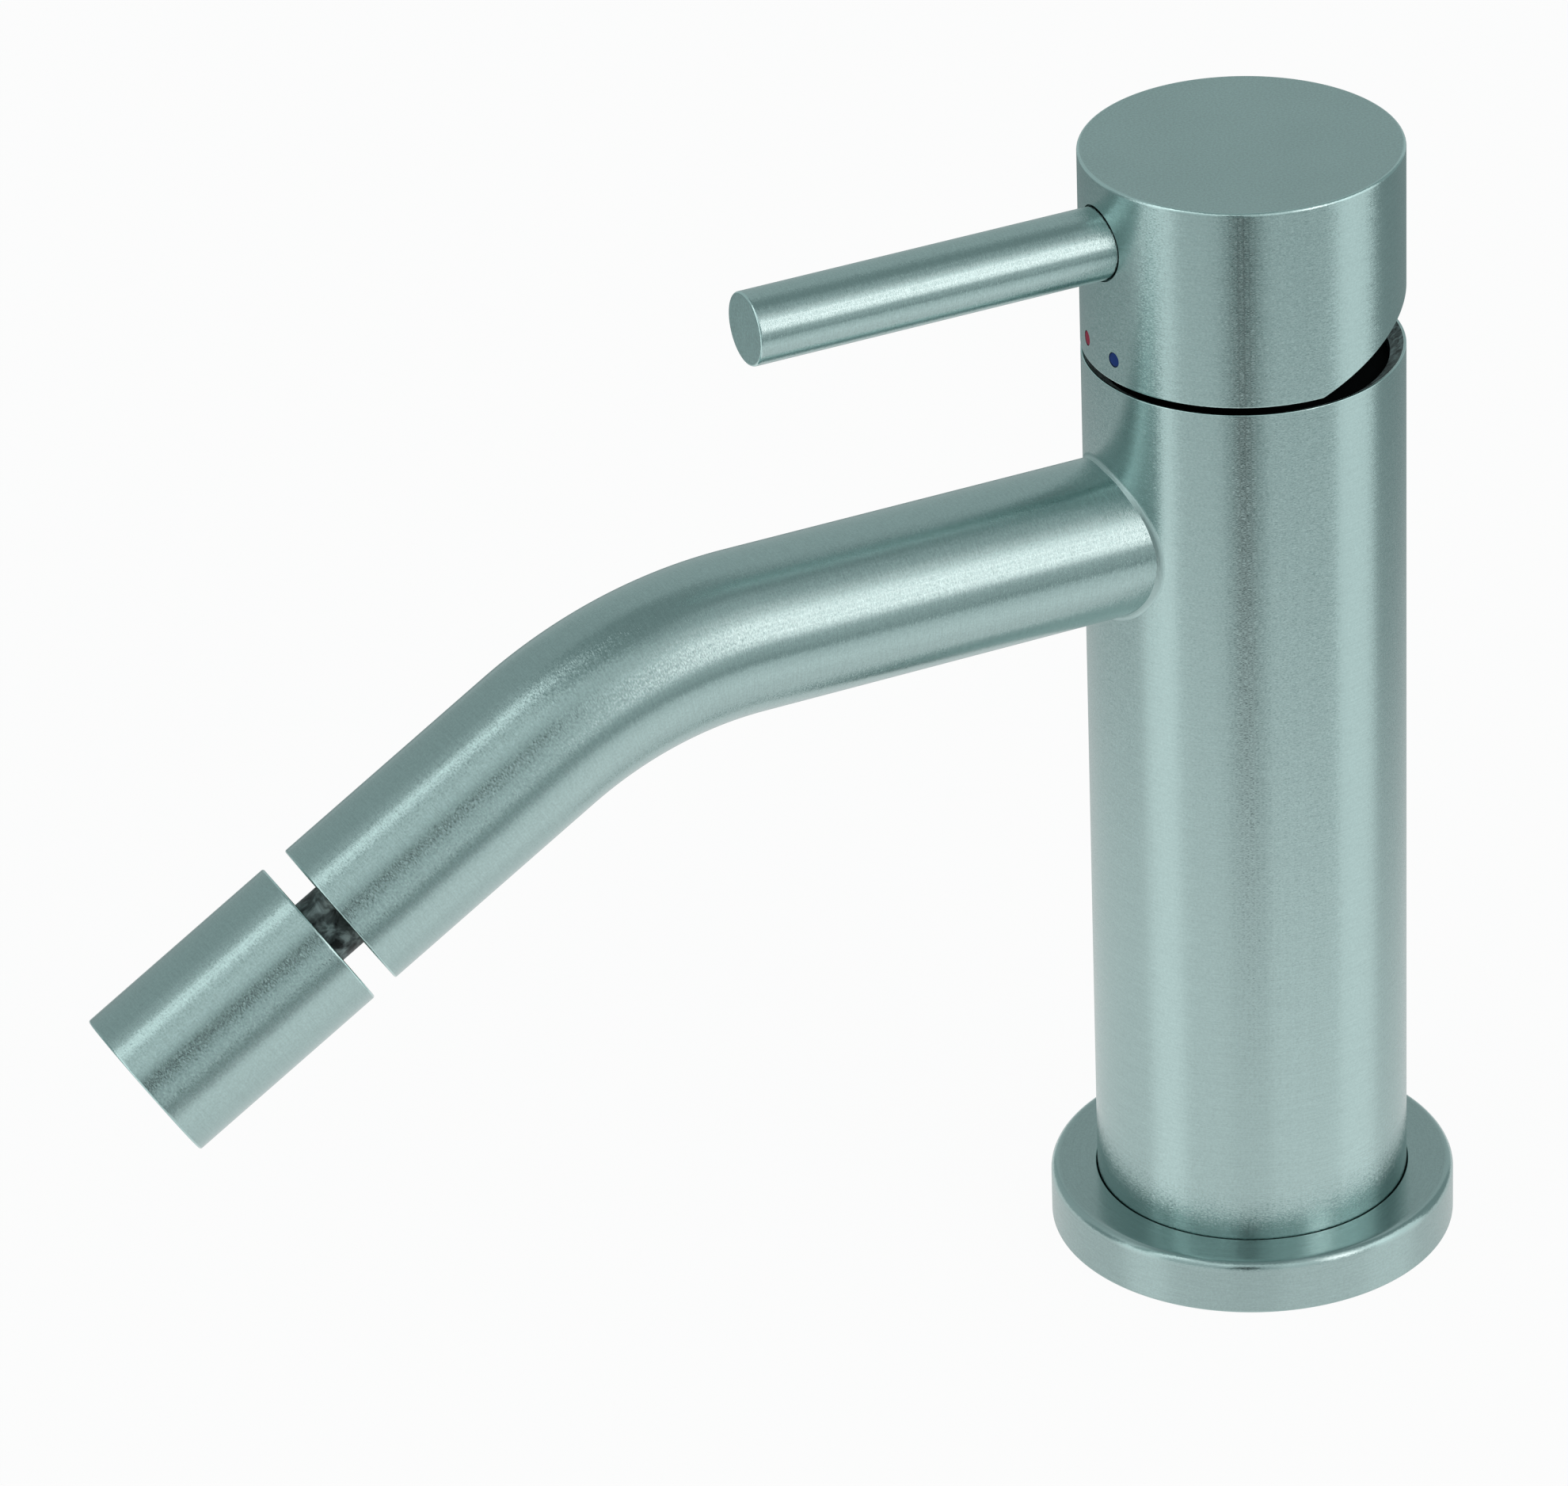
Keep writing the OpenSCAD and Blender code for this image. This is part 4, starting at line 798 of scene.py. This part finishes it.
def honeycomb_tree():
    """Rows of six-sided cells on a grid, every other row moved by half a pitch, cut round."""
    tree = bpy.data.node_groups.new("honeycomb", "GeometryNodeTree")
    tree.is_modifier = True
    for name, kind, value in (
            ("Pitch", "NodeSocketFloat", grid_pitch), ("Web", "NodeSocketFloat", grid_web),
            ("Depth", "NodeSocketFloat", grid_depth), ("Rows", "NodeSocketInt", grid_rows),
            ("Radius", "NodeSocketFloat", grid_r), ("Plastic", "NodeSocketMaterial", None)):
        item = tree.interface.new_socket(name, in_out="INPUT", socket_type=kind)
        if value is not None:
            item.default_value = value
    tree.interface.new_socket("Geometry", in_out="OUTPUT", socket_type="NodeSocketGeometry")

    def node(kind, settings=None, sockets=None):
        made = tree.nodes.new(kind)
        for key, value in (settings or {}).items():
            setattr(made, key, value)
        for key, value in (sockets or {}).items():
            if isinstance(value, bpy.types.NodeSocket):
                tree.links.new(value, made.inputs[key])
            else:
                made.inputs[key].default_value = value
        return made

    def maths(operation, a, b):
        return node("ShaderNodeMath", {"operation": operation}, {0: a, 1: b}).outputs[0]

    given = tree.nodes.new("NodeGroupInput").outputs
    row_step = maths("MULTIPLY", given["Pitch"], math.cos(math.pi / 6))
    rows = given["Rows"]
    span_x = maths("MULTIPLY", given["Pitch"], maths("SUBTRACT", rows, 1))
    span_y = maths("MULTIPLY", row_step, maths("SUBTRACT", rows, 1))
    field = node("GeometryNodeMeshGrid", None, {
        "Size X": span_x, "Size Y": span_y, "Vertices X": rows, "Vertices Y": rows})
    where = node("GeometryNodeInputPosition").outputs[0]
    split = node("ShaderNodeSeparateXYZ", None, {0: where})
    row = maths("ROUND", maths("DIVIDE", split.outputs[1], row_step), 0.0)
    half_pitch = maths("MULTIPLY", given["Pitch"], 0.5)
    shift = maths("MULTIPLY", maths("FLOORED_MODULO", row, 2.0), half_pitch)
    moved = node("GeometryNodeSetPosition", None, {
        "Geometry": field.outputs["Mesh"],
        "Offset": node("ShaderNodeCombineXYZ", None, {0: shift}).outputs[0]})
    reach = node("ShaderNodeVectorMath", {"operation": "LENGTH"}, {0: where}).outputs["Value"]
    limit = maths("SUBTRACT", given["Radius"], half_pitch)
    outside = node("FunctionNodeCompare", {"data_type": "FLOAT", "operation": "GREATER_THAN"},
                   {0: reach, 1: limit}).outputs[0]
    kept = node("GeometryNodeDeleteGeometry", {"domain": "POINT"}, {
        "Geometry": moved.outputs[0], "Selection": outside})
    cell_gap = 0.00001
    wall = maths("SUBTRACT", maths("MULTIPLY", given["Web"], 0.5), cell_gap)
    wall_middle = maths("SUBTRACT", half_pitch, maths("MULTIPLY", given["Web"], 0.25))
    cell_r = maths("DIVIDE", wall_middle, math.cos(math.pi / 6))
    hexagon = node("GeometryNodeCurvePrimitiveCircle", {"mode": "RADIUS"}, {
        "Resolution": 6, "Radius": cell_r})
    section = node("GeometryNodeCurvePrimitiveQuadrilateral", {"mode": "RECTANGLE"}, {
        "Width": wall, "Height": given["Depth"]})
    cell = node("GeometryNodeCurveToMesh", None, {0: hexagon.outputs[0], 1: section.outputs[0]})
    turned_cell = node("GeometryNodeTransform", None, {
        "Geometry": cell.outputs[0], "Rotation": (0, 0, math.pi / 6)})
    cells = node("GeometryNodeInstanceOnPoints", None, {
        "Points": kept.outputs[0], "Instance": turned_cell.outputs[0]})
    real = node("GeometryNodeRealizeInstances", None, {0: cells.outputs[0]})
    flat = node("GeometryNodeSetShadeSmooth", None, {
        "Geometry": real.outputs[0], "Shade Smooth": False})
    painted = node("GeometryNodeSetMaterial", None, {
        "Geometry": flat.outputs[0], "Material": given["Plastic"]})
    tree.links.new(painted.outputs[0], tree.nodes.new("NodeGroupOutput").inputs[0])
    return tree


def moulded(name, colour, roughness=0.38):
    """Moulded plastic: a faint flow mottle and a fine orange-peel skin."""
    f = Finish(name)
    flow = f.node("ShaderNodeTexNoise", None, {"Vector": f.place(), "Scale": 300.0, "Detail": 3.0})
    peel = f.node("ShaderNodeTexNoise", None, {"Vector": f.place(), "Scale": 4000.0, "Detail": 1.0})
    bump = f.node("ShaderNodeBump", None, {"Strength": 0.12, "Distance": 0.00002, "Height": peel})
    return f.surface(**{
        "Base Color": f.mix(flow, rgba(colour, 0.93), rgba(colour, 1.03)),
        "Roughness": (roughness - 0.05) + flow * 0.1, "Normal": bump})


white_plastic = moulded("white_plastic", (0.72, 0.73, 0.71))
grid_holder = bpy.data.objects.new("jet_grid", bpy.data.meshes.new("jet_grid"))
scene.collection.objects.link(grid_holder)
comb = grid_holder.modifiers.new("honeycomb", "NODES")
comb.node_group = honeycomb_tree()
for item in comb.node_group.interface.items_tree:
    if item.item_type == "SOCKET" and item.in_out == "INPUT":
        if item.name == "Plastic":
            comb[item.identifier] = white_plastic
        else:
            comb[item.identifier] = item.default_value
bpy.context.view_layer.update()
evaluated = grid_holder.evaluated_get(bpy.context.evaluated_depsgraph_get())
comb_mesh = bpy.data.meshes.new_from_object(evaluated)
grid_holder.modifiers.clear()
grid_holder.data = comb_mesh
comb_mesh.transform(tip_place @ Matrix.Translation((0, 0, grid_at + grid_depth / 2)))
rim = turned("rim", corners(
    (grid_r, grid_at, 0), (grid_r, grid_end, fine_edge), (grid_r - grid_rim, grid_end, fine_edge),
    (grid_r - grid_rim, grid_at, 0)), place=tip_place, steps=96)
joined = bmesh.new()
joined.from_mesh(comb_mesh)
joined.from_mesh(rim.data)
joined.to_mesh(comb_mesh)
joined.free()
bpy.data.objects.remove(rim)
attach(grid_holder, "nozzle")
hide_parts("outlet_grid")


def dress(material, *names):
    for name in names:
        nodes[name].data.materials.clear()
        nodes[name].data.materials.append(material)


dress(white_plastic, "aerator_housing", "ball_seat", "cartridge_base", "cartridge_housing")
dress(moulded("grey_plastic", (0.21, 0.23, 0.25)), "mixer_rotor", "disc_carrier", "flow_regulator")


# Brass pieces inside, turned from bar with the fine rings of the tool left on them. The inlet
# block, the adapter and the ring in the nozzle are bright. The cartridge's holder, nut and stem
# show through the gap under the cap, where the photograph is black, so they are painted near
# black: a painted shade for the deep shade in that gap.
def machined(name, colour, roughness=0.3, shine=0.5):
    """Turned metal with faint tool rings and a little tarnish; without shine it is a dull colour
    that is not metal, as the painted shade under the cap uses it.
    """
    f = Finish(name)
    stretched = f.node("ShaderNodeMapping", None, {0: f.place(), 3: (60, 60, 4000)})
    rings = f.node("ShaderNodeTexNoise", None, {"Vector": stretched, "Scale": 1.0, "Detail": 2.0})
    tarnish = f.node("ShaderNodeTexNoise", None, {
        "Vector": f.place(), "Scale": 160.0, "Detail": 4.0, "Roughness": 0.6})
    bump = f.node("ShaderNodeBump", None, {"Strength": 0.2, "Distance": 0.00003, "Height": rings})
    return f.surface(**{
        "Base Color": f.mix(tarnish, rgba(colour, 0.7), rgba(colour, 1.1)),
        "Metallic": float(shine > 0), "Specular IOR Level": shine,
        "Roughness": (roughness - 0.08) + rings * 0.1 + tarnish * 0.1, "Normal": bump})


dress(machined("turned_brass", (0.62, 0.43, 0.17)), "inlet_base", "outlet_adapter", "seat_retainer")
# Painted shade: a near-black colour that is not metal, for the pieces seen in the deep shade under
# the cap.
dress(machined("brass_painted_shade", (0.010, 0.011, 0.011), roughness=0.55, shine=0.0),
      "cartridge_holder", "retaining_nut", "cartridge_stem")

# Riser tubes: drawn copper, a little dulled, that push into seal rings in the inlet block and
# in the cartridge holder.
dress(machined("drawn_copper", (0.62, 0.27, 0.15), roughness=0.34), "hot_riser", "cold_riser")

# Small steel parts: the cartridge's pin, the neck's spring clip and the aerator's screen are
# bright, and the grub screw that clamps the cap is blackened.
dress(machined("bright_steel", (0.52, 0.55, 0.55), roughness=0.25),
      "pivot_pin", "stem_clip", "inlet_screen")
dress(machined("black_steel", (0.06, 0.065, 0.07), roughness=0.4), "handle_grub_screw")

# Ceramic discs: hard white alumina, lapped so flat that they seal on each other. The lower one
# is fixed, and the lever slides the upper one over it.
f = Finish("lapped_alumina")
speck = f.node("ShaderNodeTexNoise", None, {"Vector": f.place(), "Scale": 2200.0, "Detail": 3.0})
dress(f.surface(**{
    "Base Color": f.mix(speck, rgba((0.80, 0.78, 0.72)), rgba((0.88, 0.87, 0.83))),
    "Roughness": 0.12 + speck * 0.1}), "fixed_disc", "moving_disc")

# Rubber: the gasket under the flange and every seal ring, moulded in black with a dull skin
# and fine pores.
f = Finish("black_rubber")
bloom = f.node("ShaderNodeTexNoise", None, {"Vector": f.place(), "Scale": 250.0, "Detail": 4.0})
pores = f.node("ShaderNodeTexNoise", None, {"Vector": f.place(), "Scale": 5000.0, "Detail": 2.0})
bump = f.node("ShaderNodeBump", None, {"Strength": 0.3, "Distance": 0.00003, "Height": pores})
dress(f.surface(**{
    "Base Color": f.mix(bloom, rgba((0.012, 0.012, 0.013)), rgba((0.03, 0.03, 0.032))),
    "Roughness": 0.55 + bloom * 0.2, "Normal": bump}),
    "flange_ring", "base_gasket", "riser_rings", "holder_rings", "port_seals", "disc_seals",
    "adapter_ring", "ball_seal", "aerator_gasket")
